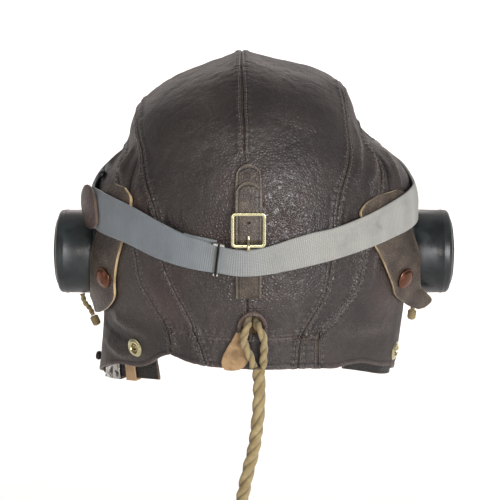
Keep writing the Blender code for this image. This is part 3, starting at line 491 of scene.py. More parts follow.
def lathe(profile: Sequence[tuple[float, float]], seat: Array, axis: Array, sides: int,
          look: int = 0, steps: int = 1) -> Shape:
    """A round solid: each radius of the profile carried round the axis, with closed poles.

    Args:
        profile: radius and distance along the axis in millimetres, from the seat outwards.
        seat: point on the axis that distances start from, in metres.
        axis: direction of the axis.
        sides: number of points round each ring.
        look: material number.
        steps: points in each span of the profile, on a smooth curve for more than one.

    Returns:
        The solid.
    """
    table = np.array(profile, dtype=float) * MM
    if steps > 1:
        knots = np.arange(len(table))
        fine = np.linspace(0, len(table) - 1, (len(table) - 1) * steps + 1)
        table = np.stack([hermite(knots, column, fine) for column in table.T], axis=-1)
    axis = unit(np.asarray(axis, dtype=float))
    side = unit(np.cross(axis, (0.0, 0.0, 1.0) if abs(axis[2]) < 0.9 else (1.0, 0.0, 0.0)))
    other = np.cross(axis, side)
    turn = np.linspace(0, 2 * pi, sides, endpoint=False)
    ring = side * np.cos(turn)[:, None] + other * np.sin(turn)[:, None]
    body = table[1:-1]
    points = seat + body[:, None, :1] * ring[None] + body[:, None, 1:] * axis
    faces = grid_faces(len(body), sides, loop_columns=True)[:, ::-1].tolist()
    count = len(body) * sides
    poles = seat + table[[0, -1], 1:] * axis
    following = np.roll(np.arange(sides), -1)
    last = (len(body) - 1) * sides
    faces += np.stack([np.full(sides, count), following, np.arange(sides)], axis=-1).tolist()
    faces += np.stack([np.full(sides, count + 1), np.arange(sides) + last, following + last],
                      axis=-1).tolist()
    return Shape(np.concatenate([points.reshape(-1, 3), poles]), faces, look)


def carried_frames(path: Array, first_side: Array, closed: bool = False) -> tuple[Array, Array]:
    """Side and upward unit vectors along a path, each side carried on from the last.

    Args:
        path: points of the path.
        first_side: rough direction of the first side vector.
        closed: whether the path is a loop.

    Returns:
        Sides, and the cross products of the tangents with them.
    """
    if closed:
        tangents = unit(np.roll(path, -1, axis=0) - np.roll(path, 1, axis=0))
    else:
        tangents = unit(np.gradient(path, axis=0))
    sides = np.empty_like(path)
    side = np.asarray(first_side, dtype=float)
    for k, tangent in enumerate(tangents):
        side = unit(side - (side @ tangent) * tangent)
        sides[k] = side
    return sides, np.cross(tangents, sides)


def tube(path: Array, section: Array, first_side: Array, closed: bool = False, look: int = 0,
         marks: dict[str, Array] | None = None, uv: Array | None = None) -> Shape:
    """A cross section carried along a path, with closed ends unless the path is a loop.

    Each point is the path's point plus the section's two numbers times the side and the upward
    vector there.

    Args:
        path: the path's points in metres.
        section: two numbers in metres for each point round the section, and where it changes
            along the path, one such row for each of the path's points.
        first_side: rough direction of the section's first axis at the start.
        closed: whether the path is a loop.
        look: material number.
        marks: named numbers for each point.
        uv: a place for each point.

    Returns:
        The tube.
    """
    sides, ups = carried_frames(path, first_side, closed)
    section = np.broadcast_to(section, (len(path), *np.shape(section)[-2:]))
    points = path[:, None] + section[..., :1] * sides[:, None] + section[..., 1:] * ups[:, None]
    rows, columns = points.shape[:2]
    faces = grid_faces(rows, columns, loop_rows=closed, loop_columns=True)[:, ::-1].tolist()
    points = points.reshape(-1, 3)
    if not closed:
        count, ring = rows * columns, np.arange(columns)
        following, last = np.roll(ring, -1), (rows - 1) * columns
        faces += np.stack([np.full(columns, count), following, ring], axis=-1).tolist()
        faces += np.stack([np.full(columns, count + 1), ring + last, following + last],
                          axis=-1).tolist()
        points = np.concatenate([points, path[[0, -1]]])
        if uv is not None:
            uv = np.concatenate([uv, uv[[0, -1]]])
        marks = {name: np.append(values, values[[0, -1]]) for name, values in (marks or {}).items()}
    return Shape(points, faces, look, uv, marks)


def round_section(radius_mm: float, sides: int = 12) -> Array:
    """A circle as a cross section."""
    turn = np.linspace(0, 2 * pi, sides, endpoint=False)
    return np.stack([np.cos(turn), np.sin(turn)], axis=-1) * radius_mm * MM


def box_section(width_mm: float, depth_mm: float, corner_mm: float, steps: int = 4) -> Array:
    """A rectangle with rounded corners as a cross section: a quarter circle at each corner."""
    quarter = np.linspace(0, pi / 2, steps)
    half = np.array([width_mm / 2 - corner_mm, depth_mm / 2 - corner_mm])
    corners = []
    for k, signs in enumerate(((1, 1), (-1, 1), (-1, -1), (1, -1))):
        turn = quarter + k * pi / 2
        arc = np.stack([np.cos(turn), np.sin(turn)], axis=-1) * corner_mm
        corners.append(half * np.array(signs) + arc)
    return np.concatenate(corners) * MM


def make(name: str, shapes: Sequence[Shape], looks: Sequence[Material],
         nodes: Sequence[str] = (), sharp_angle: float = 50) -> Object:
    """One piece from its shapes: a mesh at the origin that rides on the helmet's body.

    Args:
        name: the piece's name.
        shapes: its parts; those of one piece share their materials by number.
        looks: its materials.
        nodes: CAD nodes that the piece stands for.
        sharp_angle: angle in degrees from which an edge stays sharp.

    Returns:
        The piece's object.
    """
    faces, numbers, first = [], [], 0
    for shape in shapes:
        faces += [[k + first for k in face] for face in shape.faces]
        numbers += [shape.look] * len(shape.faces)
        first += len(shape.points)
    mesh = bpy.data.meshes.new(name)
    mesh.from_pydata(np.concatenate([s.points for s in shapes]).tolist(), [], faces)
    for look in looks:
        mesh.materials.append(look)
    mesh.polygons.foreach_set("material_index", np.minimum(numbers, len(looks) - 1).astype(np.int32))
    if any(s.uv is not None for s in shapes):
        uv = np.concatenate([np.zeros((len(s.points), 2)) if s.uv is None else s.uv for s in shapes])
        corners = np.empty(len(mesh.loops), dtype=np.int32)
        mesh.loops.foreach_get("vertex_index", corners)
        mesh.uv_layers.new(name="UVMap").data.foreach_set("uv", uv[corners].ravel())
    for mark in sorted({word for s in shapes for word in (s.marks or {})}):
        values = [(s.marks or {}).get(mark, np.zeros(len(s.points))) for s in shapes]
        layer = mesh.attributes.new(mark, "FLOAT", "POINT")
        layer.data.foreach_set("value", np.concatenate(values).astype(np.float32))
    mesh.shade_smooth()
    mesh.set_sharp_from_angle(angle=radians(sharp_angle))
    thing = bpy.data.objects.new(name, mesh)
    bpy.context.scene.collection.objects.link(thing)
    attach(thing, BODY)
    if nodes:
        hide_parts(*nodes)
    LOG.info("%s: %d faces", name, len(faces))
    return thing


def colour(code: str) -> tuple[float, float, float, float]:
    """Linear colour of an sRGB hex value."""
    parts = [int(code[k:k + 2], 16) / 255 for k in (1, 3, 5)]
    linear = [v / 12.92 if v <= 0.04045 else ((v + 0.055) / 1.055) ** 2.4 for v in parts]
    return (*linear, 1.0)


Link = tuple[bpy.types.Node, str | int]
MIX_A, MIX_B, MIXED = 6, 7, 2


class Graph:
    """The nodes of one material. A link is a node and the name or number of its output."""

    def __init__(self, name: str) -> None:
        """Starts a material with its shader, the object's coordinates and the piece's own map."""
        self.material = bpy.data.materials.new(name)
        self.material.use_nodes = True
        self.tree = self.material.node_tree
        self.shader = self.tree.nodes["Principled BSDF"]
        coordinates = self.add("ShaderNodeTexCoord")
        self.place: Link = (coordinates, "Object")
        self.map: Link = (coordinates, "UV")

    def add(self, kind: str, settings: dict | None = None, links: dict | None = None) -> bpy.types.Node:
        """Adds one node with its settings and links.

        Args:
            kind: the node's type.
            settings: values by property, or by input name or number.
            links: what feeds each input, by input name or number.

        Returns:
            The node.
        """
        node = self.tree.nodes.new(kind)
        for key, value in (settings or {}).items():
            if isinstance(key, int) or (key in node.inputs and not hasattr(node, key)):
                node.inputs[key].default_value = value
            else:
                setattr(node, key, value)
        for key, (source, output) in (links or {}).items():
            self.tree.links.new(source.outputs[output], node.inputs[key])
        return node

    def fed(self, kind: str, settings: dict, inputs: dict) -> bpy.types.Node:
        """A node whose inputs are each a link, an sRGB hex colour or a plain value."""
        links = {key: value for key, value in inputs.items() if isinstance(value, tuple)}
        plain = {key: colour(value) if isinstance(value, str) else value
                 for key, value in inputs.items() if key not in links}
        return self.add(kind, settings | plain, links)

    def mark(self, name: str) -> Link:
        """A named number of the mesh."""
        return self.add("ShaderNodeAttribute", {"attribute_name": name}), "Fac"

    def noise(self, size_mm: float, detail: float, more: dict | None = None, output: str = "Fac") -> Link:
        """Noise with patches of a size in millimetres."""
        settings = {"Scale": 1 / (size_mm * MM), "Detail": detail} | (more or {})
        return self.add("ShaderNodeTexNoise", settings, {"Vector": self.place}), output

    def cells(self, size_mm: float, at: Link) -> Link:
        """Distance to the edges of cells of a size in millimetres."""
        settings = {"feature": "DISTANCE_TO_EDGE", "Scale": 1 / (size_mm * MM)}
        return self.add("ShaderNodeTexVoronoi", settings, {"Vector": at}), "Distance"

    def wave(self, pitch_mm: float, at: Link, more: dict) -> Link:
        """Bands a pitch in millimetres apart, on a map in millimetres: their scale is pi / 10 to one."""
        return self.add("ShaderNodeTexWave", {"Scale": pi / 10 / pitch_mm} | more, {"Vector": at}), "Fac"

    def span(self, value: Link, low: float = 0.0, high: float = 1.0, start: float = 0.0,
             end: float = 1.0, smooth: bool = False) -> Link:
        """A value brought from low and high to start and end, and held beyond them."""
        settings = {"interpolation_type": "SMOOTHSTEP" if smooth else "LINEAR", "From Min": low,
                    "From Max": high, "To Min": start, "To Max": end}
        return self.add("ShaderNodeMapRange", settings, {"Value": value}), "Result"

    def math(self, operation: str, *values: Link | float) -> Link:
        """The result of an operation on up to three values."""
        return self.fed("ShaderNodeMath", {"operation": operation}, dict(enumerate(values))), 0

    def mix(self, share: Link | float, first: Link | str, second: Link | str, kind: str = "MIX") -> Link:
        """Two colours, each a link or a hex value, mixed by a share of the second."""
        settings = {"data_type": "RGBA", "blend_type": kind}
        return self.fed("ShaderNodeMix", settings, {0: share, MIX_A: first, MIX_B: second}), MIXED

    def ramp(self, value: Link, *stops: tuple[float, str]) -> Link:
        """A colour that runs through stops, each a place and a hex value."""
        node = self.add("ShaderNodeValToRGB", {}, {"Fac": value})
        for element, (place, code) in zip(node.color_ramp.elements, stops):
            element.position = place
            element.color = colour(code)
        return node, "Color"

    def bump(self, height: Link, depth_mm: float, strength: Link | float, over: Link | None = None) -> Link:
        """A relief of a depth in millimetres, on top of another where one is given."""
        inputs = {"Height": height, "Strength": strength} | ({"Normal": over} if over else {})
        return self.fed("ShaderNodeBump", {"Distance": depth_mm * MM}, inputs), "Normal"

    def finish(self, tint: Link, roughness: Link | float, relief: Link | None = None,
               constants: dict[str, float] | None = None) -> Material:
        """Feeds the shader and returns the material.

        Args:
            tint: the base colour.
            roughness: a link or one value.
            relief: the bumped normal.
            constants: further values set on the shader's own sockets.

        Returns:
            The material.
        """
        values = dict(constants or {})
        links = {"Base Color": tint}
        if relief:
            links["Normal"] = relief
        if isinstance(roughness, tuple):
            links["Roughness"] = roughness
        else:
            values["Roughness"] = roughness
        for key, (source, output) in links.items():
            self.tree.links.new(source.outputs[output], self.shader.inputs[key])
        for key, value in values.items():
            self.shader.inputs[key].default_value = value
        return self.material


@dataclass(frozen=True)
class GrainedLeather:
    """Chrome-tanned sheepskin or cowhide, drum-dyed, with its grain side out.

    The grain is a net of fine valleys between pebbles, with painted shade in the valleys. Dye is
    uneven over the hide, folds and edges are rubbed lighter, and handled places are polished.
    The mesh carries the marks "worn", which on straps is partly a painted highlight along the
    edges, "gloss", and "crease", painted shade with some soiling in the bottoms of its valleys.

    Attributes:
        name: name of the material.
        deep: dye in the hollows.
        plain: usual dye.
        warm: redder patches.
        wear_and_highlight: worn ridges and edges, and along the edges of straps a painted highlight.
        pebble_mm: width of a pebble; real ones are 0.5 mm, drawn coarser so that they show.
        dull: roughness away from handled places.
        polished: roughness of handled places.
        relief_mm: depth of the valleys.
        dirt: colour of the creases, painted shade with some soiling.
    """

    name: str
    deep: str
    plain: str
    warm: str
    wear_and_highlight: str
    pebble_mm: float = 1.9
    dull: float = 0.6
    polished: float = 0.29
    relief_mm: float = 0.4
    dirt: str = "#0b0908"

    def make(self) -> Material:
        """Builds the material."""
        graph = Graph(self.name)
        worn, gloss, crease = (graph.mark(word) for word in ("worn", "gloss", "crease"))
        stir = graph.noise(10 / 3, 2.0, output="Color")
        stirred = graph.add("ShaderNodeVectorMath", {"operation": "MULTIPLY_ADD", 1: (1.2 * MM,) * 3},
                            {0: stir, 2: graph.place})
        net = graph.span(graph.cells(self.pebble_mm, (stirred, "Vector")), 0.0, 0.42, smooth=True)
        hide = graph.noise(45, 3.0, {"Distortion": 0.6})
        patches = graph.noise(70, 2.0)
        grain = graph.noise(4, 2.0)
        dye_and_shade = graph.mix(hide, self.deep, self.plain)
        dye_and_shade = graph.mix(graph.span(patches, 0.5, 0.66, 0.0, 0.75), dye_and_shade, self.warm)
        # Lighter where worn; along the edges of straps this is partly a painted highlight.
        dye_and_shade = graph.mix(graph.math("MULTIPLY", worn, grain), dye_and_shade, self.wear_and_highlight)
        # Painted shade: darker in the grain's valleys and a little lighter on the pebbles' tops.
        dye_and_shade = graph.mix(1.0, dye_and_shade, graph.span(net, start=0.72, end=1.08), "MULTIPLY")
        # Painted shade, with some soiling, in the seams, the folds' dents and the creases.
        dye_and_shade = graph.mix(crease, dye_and_shade, self.dirt)
        polish = graph.span(gloss, start=self.dull, end=self.polished)
        uneven = graph.math("SUBTRACT", graph.math("MULTIPLY_ADD", grain, 0.16, polish), 0.08)
        fine = graph.bump(net, self.relief_mm, graph.span(gloss, start=0.3))
        return graph.finish(dye_and_shade, uneven, graph.bump(grain, 1.2, 0.5, fine), {"IOR": 1.5})


@dataclass(frozen=True)
class FleshSide:
    """The cut edge or the suede side of leather: matt fibres with a soft sheen.

    Attributes:
        name: name of the material.
        fibre: usual colour.
        dirty: darker places.
        fibre_mm: spacing of the fibres; real ones are 0.1 mm, drawn coarser so that they show.
    """

    name: str
    fibre: str
    dirty: str
    fibre_mm: float = 0.7

    def make(self) -> Material:
        """Builds the material."""
        graph = Graph(self.name)
        stain, nap = graph.noise(9, 4.0), graph.noise(self.fibre_mm, 3.0)
        level = graph.math("ADD", stain, graph.math("MULTIPLY_ADD", nap, 0.35, -0.17))
        tint = graph.ramp(level, (0.36, self.dirty), (0.58, self.fibre))
        return graph.finish(tint, 0.85, graph.bump(nap, 0.25, 0.5), {"Sheen Weight": 0.25})


@dataclass(frozen=True)
class MouldedRubber:
    """Compression-moulded black rubber: satin, with a cloudy bloom and a faint pitted skin.

    Attributes:
        name: name of the material.
        black: usual colour.
        bloom: the greyer bloom on its surface.
    """

    name: str
    black: str
    bloom: str

    def make(self) -> Material:
        """Builds the material."""
        graph = Graph(self.name)
        cloud = graph.noise(16, 5.0, {"Distortion": 0.8})
        tint = graph.ramp(cloud, (0.38, self.black), (0.72, self.bloom))
        satin = graph.span(cloud, 0.3, 0.7, 0.26, 0.5)
        skin = graph.bump(graph.noise(1.6, 3.0), 0.12, 0.35)
        scuffs = graph.bump(graph.cells(6, (cloud[0], "Color")), 0.2, 0.15, skin)
        return graph.finish(tint, satin, scuffs, {"IOR": 1.52})


@dataclass(frozen=True)
class WornMetal:
    """Pressed or drawn metal that has been handled: bright where rubbed, dull in its corners.

    Attributes:
        name: name of the material.
        bright: colour where it is rubbed.
        dull: tarnished colour.
        smooth: roughness where it is rubbed.
        rough: roughness of the tarnish.
        cover: share of the tarnish, 0 to 1.
        patch_mm: size of its patches.
    """

    name: str
    bright: str
    dull: str
    smooth: float
    rough: float
    cover: float = 0.5
    patch_mm: float = 3.5

    def make(self) -> Material:
        """Builds the material; more cover lets the tarnish start at a lower noise."""
        graph = Graph(self.name)
        tarnish = graph.noise(self.patch_mm, 5.0, {"Roughness": 0.6})
        lower = 0.3 * self.cover
        share = graph.span(tarnish, 0.68 - lower, 0.86 - lower, smooth=True)
        tint = graph.mix(share, self.bright, self.dull)
        polish = graph.span(share, start=self.smooth, end=self.rough)
        return graph.finish(tint, polish, graph.bump(graph.noise(0.9, 2.0), 0.06, 0.2), {"Metallic": 1.0})


@dataclass(frozen=True)
class ElasticWebbing:
    """Woven elastic of rubber cores and cotton, ribbed across by its weft.

    The weave follows the strap's own map, in millimetres along and across.

    Attributes:
        name: name of the material.
        blue: the less faded, bluer end, on the wearer's left.
        faded: the warmer, faded end, on the right.
        shade_and_grime: painted shade in the weave's grooves, and soiling in patches.
        weft_mm: spacing of the ribs; real ones are about 0.9 mm.
        warp_mm: spacing of the lengthwise threads, drawn at twice the real 0.4 mm to show.
        fading: x in metres at which it starts to fade and is quite faded.
    """

    name: str
    blue: str
    faded: str
    shade_and_grime: str
    weft_mm: float = 1.3
    warp_mm: float = 0.9
    fading: tuple[float, float] = (-0.07, 0.05)

    def make(self) -> Material:
        """Builds the material."""
        graph = Graph(self.name)
        across = graph.add("ShaderNodeSeparateXYZ", {}, {"Vector": graph.place})
        base = graph.mix(graph.span((across, "X"), *self.fading, smooth=True), self.blue, self.faded)
        warp = graph.wave(self.warp_mm, graph.map, {"bands_direction": "Y", "Distortion": 0.6,
                                                    "Detail": 2.0, "Detail Scale": 3.0})
        weft = graph.wave(self.weft_mm, graph.map, {"Distortion": 0.4, "Detail": 1.0})
        weave = graph.math("MULTIPLY", warp, weft)
        # Painted shade in the weave's grooves.
        hollow = graph.span(weave, 0.0, 0.55, 0.5, 0.0)
        soil = graph.span(graph.noise(12, 5.0, {"Roughness": 0.6}), 0.45, 0.75, 0.0, 0.6)
        # One colour for the painted shade in the grooves and for the soiling in patches.
        tint = graph.mix(graph.math("MAXIMUM", hollow, soil), base, self.shade_and_grime)
        return graph.finish(tint, 0.8, graph.bump(weave, 0.25, 0.5), {"Sheen Weight": 0.3})


@dataclass(frozen=True)
class TwistedCotton:
    """Cotton yarns, braided or laid into a cord: fuzzy, with painted shade between the strands.

    The yarns run slantwise on the cord's own map. The mark "hollow" is 1 between strands, where shade is
    painted.

    Attributes:
        name: name of the material.
        light: clean yarn.
        tan: usual yarn.
        shade: painted shade between the strands and between the yarns.
        yarn_mm: width of a yarn.
        slant: angle of the yarns on the map, in radians.
    """

    name: str
    light: str
    tan: str
    shade: str
    yarn_mm: float = 0.8
    slant: float = 0.6

    def make(self) -> Material:
        """Builds the material."""
        graph = Graph(self.name)
        turned = graph.add("ShaderNodeMapping", {"Rotation": (0.0, 0.0, self.slant)}, {"Vector": graph.map})
        yarn = graph.wave(self.yarn_mm, (turned, "Vector"), {"Distortion": 1.2, "Detail": 2.0,
                                                             "Detail Scale": 2.0})
        stain = graph.noise(6, 4.0, {"Roughness": 0.6})
        clean = graph.ramp(stain, (0.35, self.tan), (0.7, self.light))
        # Painted shade in the gaps between the yarns and between the strands.
        dark = graph.math("MAXIMUM", graph.span(yarn, 0.4, 0.0, 0.0, 0.35), graph.mark("hollow"))
        tint = graph.mix(dark, clean, self.shade)
        return graph.finish(tint, 0.85, graph.bump(yarn, 0.3, 0.6), {"Sheen Weight": 0.3})


class Finish(Enum):
    """The helmet's finishes, one for each real material."""

    BROWN = GrainedLeather("chrome_leather_brown", "#262120", "#383230", "#43332f", "#6e625c")
    STRAP = GrainedLeather("chrome_leather_strap", "#2c2421", "#3e332d", "#463931", "#81725f",
                           dull=0.52, polished=0.4)
    WELT = GrainedLeather("chrome_leather_welt", "#32262a", "#483837", "#523d3e", "#86705f",
                          dull=0.5, polished=0.38)
    TONGUE = GrainedLeather("vegetable_leather_red", "#2c1612", "#3b201b", "#46261f", "#624236",
                            dull=0.5, polished=0.4)
    BLACK = GrainedLeather("strap_leather_black", "#0a0909", "#100f0e", "#151312", "#302a25",
                           dull=0.62, polished=0.5)
    EDGE = FleshSide("leather_cut_edge_brown", "#5e4c3e", "#332925")
    STRAP_EDGE = FleshSide("leather_cut_edge_grey", "#8f8170", "#5b5044")
    TAN_EDGE = FleshSide("leather_cut_edge_tan", "#c2a87c", "#8d7350")
    SUEDE = FleshSide("suede_lining_side", "#5c4a3e", "#403229")
    TAN_SUEDE = FleshSide("suede_tan", "#a2835f", "#78603f")
    RUBBER = MouldedRubber("moulded_rubber_black", "#15191a", "#2c3234")
    BRASS = WornMetal("drawn_brass_worn", "#cdc7a0", "#7a7148", 0.24, 0.42, 0.35)
    DARK_BRASS = WornMetal("stamped_brass_tarnished", "#a39062", "#4a3d25", 0.3, 0.55, 0.8)
    BRONZED = WornMetal("bronzed_brass_cap", "#745040", "#523629", 0.2, 0.28, 0.4, 9.0)
    NICKEL = WornMetal("nickelled_steel", "#e0dfda", "#96948d", 0.2, 0.4, 0.4)
    SCRATCHED = WornMetal("nickelled_steel_scratched", "#b4b3af", "#413f3b", 0.22, 0.5, 0.8)
    DARK_NICKEL = WornMetal("nickelled_steel_dull", "#2b2a28", "#131211", 0.45, 0.65)
    ELASTIC = ElasticWebbing("woven_elastic_grey", "#7a838a", "#a9a79f", "#4f5253")
    COTTON = TwistedCotton("cotton_cord_khaki", "#ad9b6e", "#8b774c", "#4c4028")
    THREAD = TwistedCotton("waxed_thread_brown", "#80746b", "#685c54", "#3a312c", yarn_mm=0.4)


class Palette:
    """The finishes as Blender materials, each made once."""

    def __init__(self) -> None:
        """Starts with no material made."""
        self.made: dict[Finish, Material] = {}

    def __getitem__(self, finish: Finish) -> Material:
        """The material of a finish."""
        if finish not in self.made:
            self.made[finish] = finish.value.make()
        return self.made[finish]


@dataclass
class Studio:
    """A pale floor that curves up into a backdrop, soft lights and the photograph's camera.

    Attributes:
        target: the point that the camera looks at, at the height of the ears.
        distance: from the camera to the target.
        elevation: of the camera above the target, in degrees.
        focal_pixels: the photograph's focal length in its own pixels.
        target_pixel: where the photograph shows the target.
        frame_pixels: width and height of the photograph.
        floor_height: height of the floor, just under the plug of the cord.
        backdrop: the floor's colour.
    """

    target: tuple[float, float, float] = (0.0, 0.0, -0.134)
    distance: float = 1.0
    elevation: float = 15.0
    focal_pixels: float = 1470.6
    target_pixel: tuple[float, float] = (254.0, 251.0)
    frame_pixels: tuple[int, int] = (491, 500)
    floor_height: float = -0.54
    backdrop: str = "#f7f4f2"

    def camera(self) -> None:
        """Places the camera behind the helmet, a little above it."""
        data = bpy.data.cameras.new("photo_camera")
        view = bpy.data.objects.new("photo_camera", data)
        bpy.context.scene.collection.objects.link(view)
        tilt = radians(self.elevation)
        back = Vector((0.0, -cos(tilt), sin(tilt)))
        view.location = Vector(self.target) + back * self.distance
        view.rotation_euler = (-back).to_track_quat("-Z", "Y").to_euler()
        width, height = self.frame_pixels
        long_side = max(width, height)
        data.sensor_width = 36.0
        data.lens = self.focal_pixels / long_side * data.sensor_width
        data.shift_x = (width / 2 - self.target_pixel[0]) / long_side
        data.shift_y = (self.target_pixel[1] - height / 2) / long_side
        data.clip_start = 0.05
        bpy.context.scene.camera = view

    def floor(self) -> None:
        """A sheet that lies flat and rises behind in a quarter circle of 1 m."""
        half_width, front, back, radius, wall = 4.0, -3.0, 2.2, 1.0, 3.0
        turn = np.linspace(0, pi / 2, 24)
        y = np.concatenate([np.linspace(front, back, 8), back + radius * np.sin(turn[1:]),
                            [back + radius]])
        z = np.concatenate([np.zeros(8), radius - radius * np.cos(turn[1:]), [wall]])
        x = np.linspace(-half_width, half_width, 9)
        z = z + self.floor_height
        points = np.stack(np.broadcast_arrays(x[None, :], y[:, None], z[:, None]), axis=-1)
        faces = grid_faces(*points.shape[:2])[:, ::-1]
        mesh = bpy.data.meshes.new("studio_floor")
        mesh.from_pydata(points.reshape(-1, 3).tolist(), [], faces.tolist())
        mesh.shade_smooth()
        graph = Graph("matt_painted_board")
        paint = graph.span(graph.noise(1250, 2.0), start=0.97)
        mesh.materials.append(graph.finish(graph.mix(1.0, self.backdrop, paint, "MULTIPLY"), 0.95))
        thing = bpy.data.objects.new("studio_floor", mesh)
        bpy.context.scene.collection.objects.link(thing)

    def light(self, name: str, place: tuple[float, float, float], size: tuple[float, float],
              power: float, tint: str, toward: tuple[float, float, float] | None = None) -> None:
        """A soft rectangular light.

        Args:
            name: the light's name.
            place: its middle, in metres.
            size: its width and height in metres.
            power: watts.
            tint: sRGB hex colour.
            toward: the point that it faces, or the helmet's middle where none is given.
        """
        data = bpy.data.lights.new(name, "AREA")
        data.shape = "RECTANGLE"
        data.size, data.size_y = size
        data.energy = power
        data.color = colour(tint)[:3]
        lamp = bpy.data.objects.new(name, data)
        lamp.location = place
        aim = Vector(toward or self.target) - Vector(place)
        lamp.rotation_euler = aim.to_track_quat("-Z", "Y").to_euler()
        bpy.context.scene.collection.objects.link(lamp)

    def build(self) -> None:
        """Sets up the camera, the floor and the lights."""
        self.camera()
        self.floor()
        self.light("right_window", (1.35, -2.5, 0.42), (1.3, 0.9), 74.0, "#fbfcff")
        self.light("front_window", (-0.35, -2.9, 0.5), (0.8, 0.8), 14.0, "#fff9f4")
        self.light("left_window", (-2.4, -1.2, -0.1), (1.2, 1.0), 6.0, "#fff0ea")
        self.light("backdrop_wash", (0.0, 0.9, 1.5), (3.2, 0.8), 90.0, "#fffaf8", (0.0, 3.2, 0.1))
        world = bpy.data.worlds.new("studio")
        world.use_nodes = True
        background = world.node_tree.nodes["Background"]
        background.inputs["Color"].default_value = colour("#fbfaf9")
        background.inputs["Strength"].default_value = 0.3
        bpy.context.scene.world = world
        bpy.context.scene.view_settings.view_transform = "Standard"
        bpy.context.scene.view_settings.look = "None"


@dataclass
class HeadsetCord:
    """The khaki cord: two branches out of the slit that join, the hanging cord and its plug.

    The routes are the CAD source's: x, height and lift on the back, then free points, all in
    millimetres.

    Attributes:
        radius: of the main cord, in millimetres.
        branch_radius: of each branch.
        length: centreline of the main cord, in metres.
        branch_length: centreline of a branch, in metres.
        lay: way in which a strand goes once round the main cord.
        branch_lay: the same in a branch.
        step: spacing of the rows of points.
        plug_length: length of the plug.
        top: where the branches have joined, on the back.
        hang: the main cord's free points.
        left: the left branch's places on the back.
        right: the right branch's.
    """

    radius: float = 4.2
    branch_radius: float = 2.6
    length: float = 0.284
    branch_length: float = 0.042
    lay: float = 30.0
    branch_lay: float = 17.0
    step: float = 0.6
    plug_length: float = 60.0
    top: tuple[float, float, float] = (2.5, -184.3, 5.1)
    hang: tuple[tuple[float, float, float], ...] = (
        (3.3, -100.6, -196), (2.8, -101, -210), (1.6, -101.2, -223), (-0.4, -101.5, -237),
        (-3.8, -101.8, -251), (-6.4, -102, -264), (-9, -102.3, -280), (-11.4, -103, -303),
        (-12.2, -103.7, -335), (-11, -104.2, -370), (-8.8, -104, -405), (-7, -103.2, -438),
        (-6.2, -102.4, -464))
    left: tuple[tuple[float, float, float], ...] = (
        (-3.8, -155.6, -7), (-3.8, -155.6, -1), (-4.1, -155.4, 3.2), (-5.2, -157.5, 6),
        (-6.2, -162, 6.1), (-5.6, -167.5, 5.6), (-3.6, -173, 5.4), (-1.6, -178.5, 5.2),
        (-0.4, -183.5, 5.1))
    right: tuple[tuple[float, float, float], ...] = (
        (1.8, -155.6, -7), (1.8, -155.6, -1), (2.1, -155.4, 3.2), (3.8, -157.5, 6),
        (5.2, -162, 6.1), (5.7, -167.5, 5.6), (5.6, -173, 5.4), (5.4, -178.5, 5.2),
        (5.3, -183.5, 5.1))

    @staticmethod
    def twisted(path: Array, radius: float, strands: int, lay: float, core: float, sides: int = 40,
                wander: float = 0.04) -> Shape:
        """A cord of round strands laid round each other.

        In each cross section the radius is that of touching circles, c cos d + sqrt(r^2 - c^2
        sin^2 d), with d the angle to the nearest strand, and the strands turn once in each lay.

        Args:
            path: the centreline in metres.
            radius: outer radius in millimetres.
            strands: number of strands.
            lay: millimetres in which a strand goes once round.
            core: how far the strands' middles lie from the centreline, as a share of the radius.
            sides: points round the cord.
            wander: how unevenly the strands are laid.

        Returns:
            The cord as one closed shape.
        """
        way = np.concatenate([[0], np.cumsum(np.linalg.norm(np.diff(path, axis=0), axis=1))]) / MM
        turn = np.linspace(0, 2 * pi, sides, endpoint=False)
        noise = Noise(7)
        phase = 2 * pi * way / lay + 0.5 * noise.at(path, 13.0)
        spacing = 2 * pi / strands
        off = (turn[None] - phase[:, None] + spacing / 2) % spacing - spacing / 2
        middle, strand = core * radius, (1 - core) * radius
        reach = middle * np.cos(off) + np.sqrt(strand ** 2 - (middle * np.sin(off)) ** 2 * 0.9)
        ring = np.stack([np.cos(turn), np.sin(turn), 0 * turn], axis=-1)
        uneven = noise.at(path[:, None] + ring[None] * radius * MM, 2.5)
        reach = reach * (1 + wander * uneven)
        section = np.stack([reach * np.cos(turn), reach * np.sin(turn)], axis=-1) * MM
        hollow = np.abs(off) / (spacing / 2)
        # Painted shade between the strands, with a little random unevenness, read by the material as
        # "hollow".
        shade = np.clip(hollow ** 4 * 0.9 + 0.12 * uneven, 0, 1)
        uv = np.stack(np.broadcast_arrays(way[:, None], (turn * radius)[None]), axis=-1)
        return tube(path, section, np.array([1.0, 0.0, 0.0]), marks={"hollow": shade.ravel()},
                    uv=uv.reshape(-1, 2))

    def path(self, route: Sequence[Sequence[float]]) -> Array:
        """A branch's centreline, from places on the back of the helmet."""
        x, height, lift = np.array(route, dtype=float).T
        return FORM.back_place(x, height, lift)

    def build(self, palette: Palette) -> None:
        top = self.path([self.top])
        way = along(np.concatenate([top, np.array(self.hang) * MM]), int(self.length / MM / self.step))
        main = make("headset_cord", [self.twisted(way, self.radius, 3, self.lay, 0.38)],
                    [palette[Finish.COTTON]], ["cord_main"])
        plug = self.plug(way[-1], unit(way[-1] - way[-2]), palette)
        tuple(way[0])
        for word, route in (("left", self.left), ("right", self.right)):
            line = along(self.path(route), 80)
            branch = make(f"cord_strand_{word}",
                          [self.twisted(line, self.branch_radius, 2, self.branch_lay, 0.3, 28)],
                          [palette[Finish.COTTON]], [f"cord_branch_{word}"])
            tuple(line[0])
            LOG.info("branch %s is %.4f m long", word, np.linalg.norm(np.diff(line, axis=0), axis=1).sum())
        LOG.info("main cord is %.4f m long", np.linalg.norm(np.diff(way, axis=0), axis=1).sum())

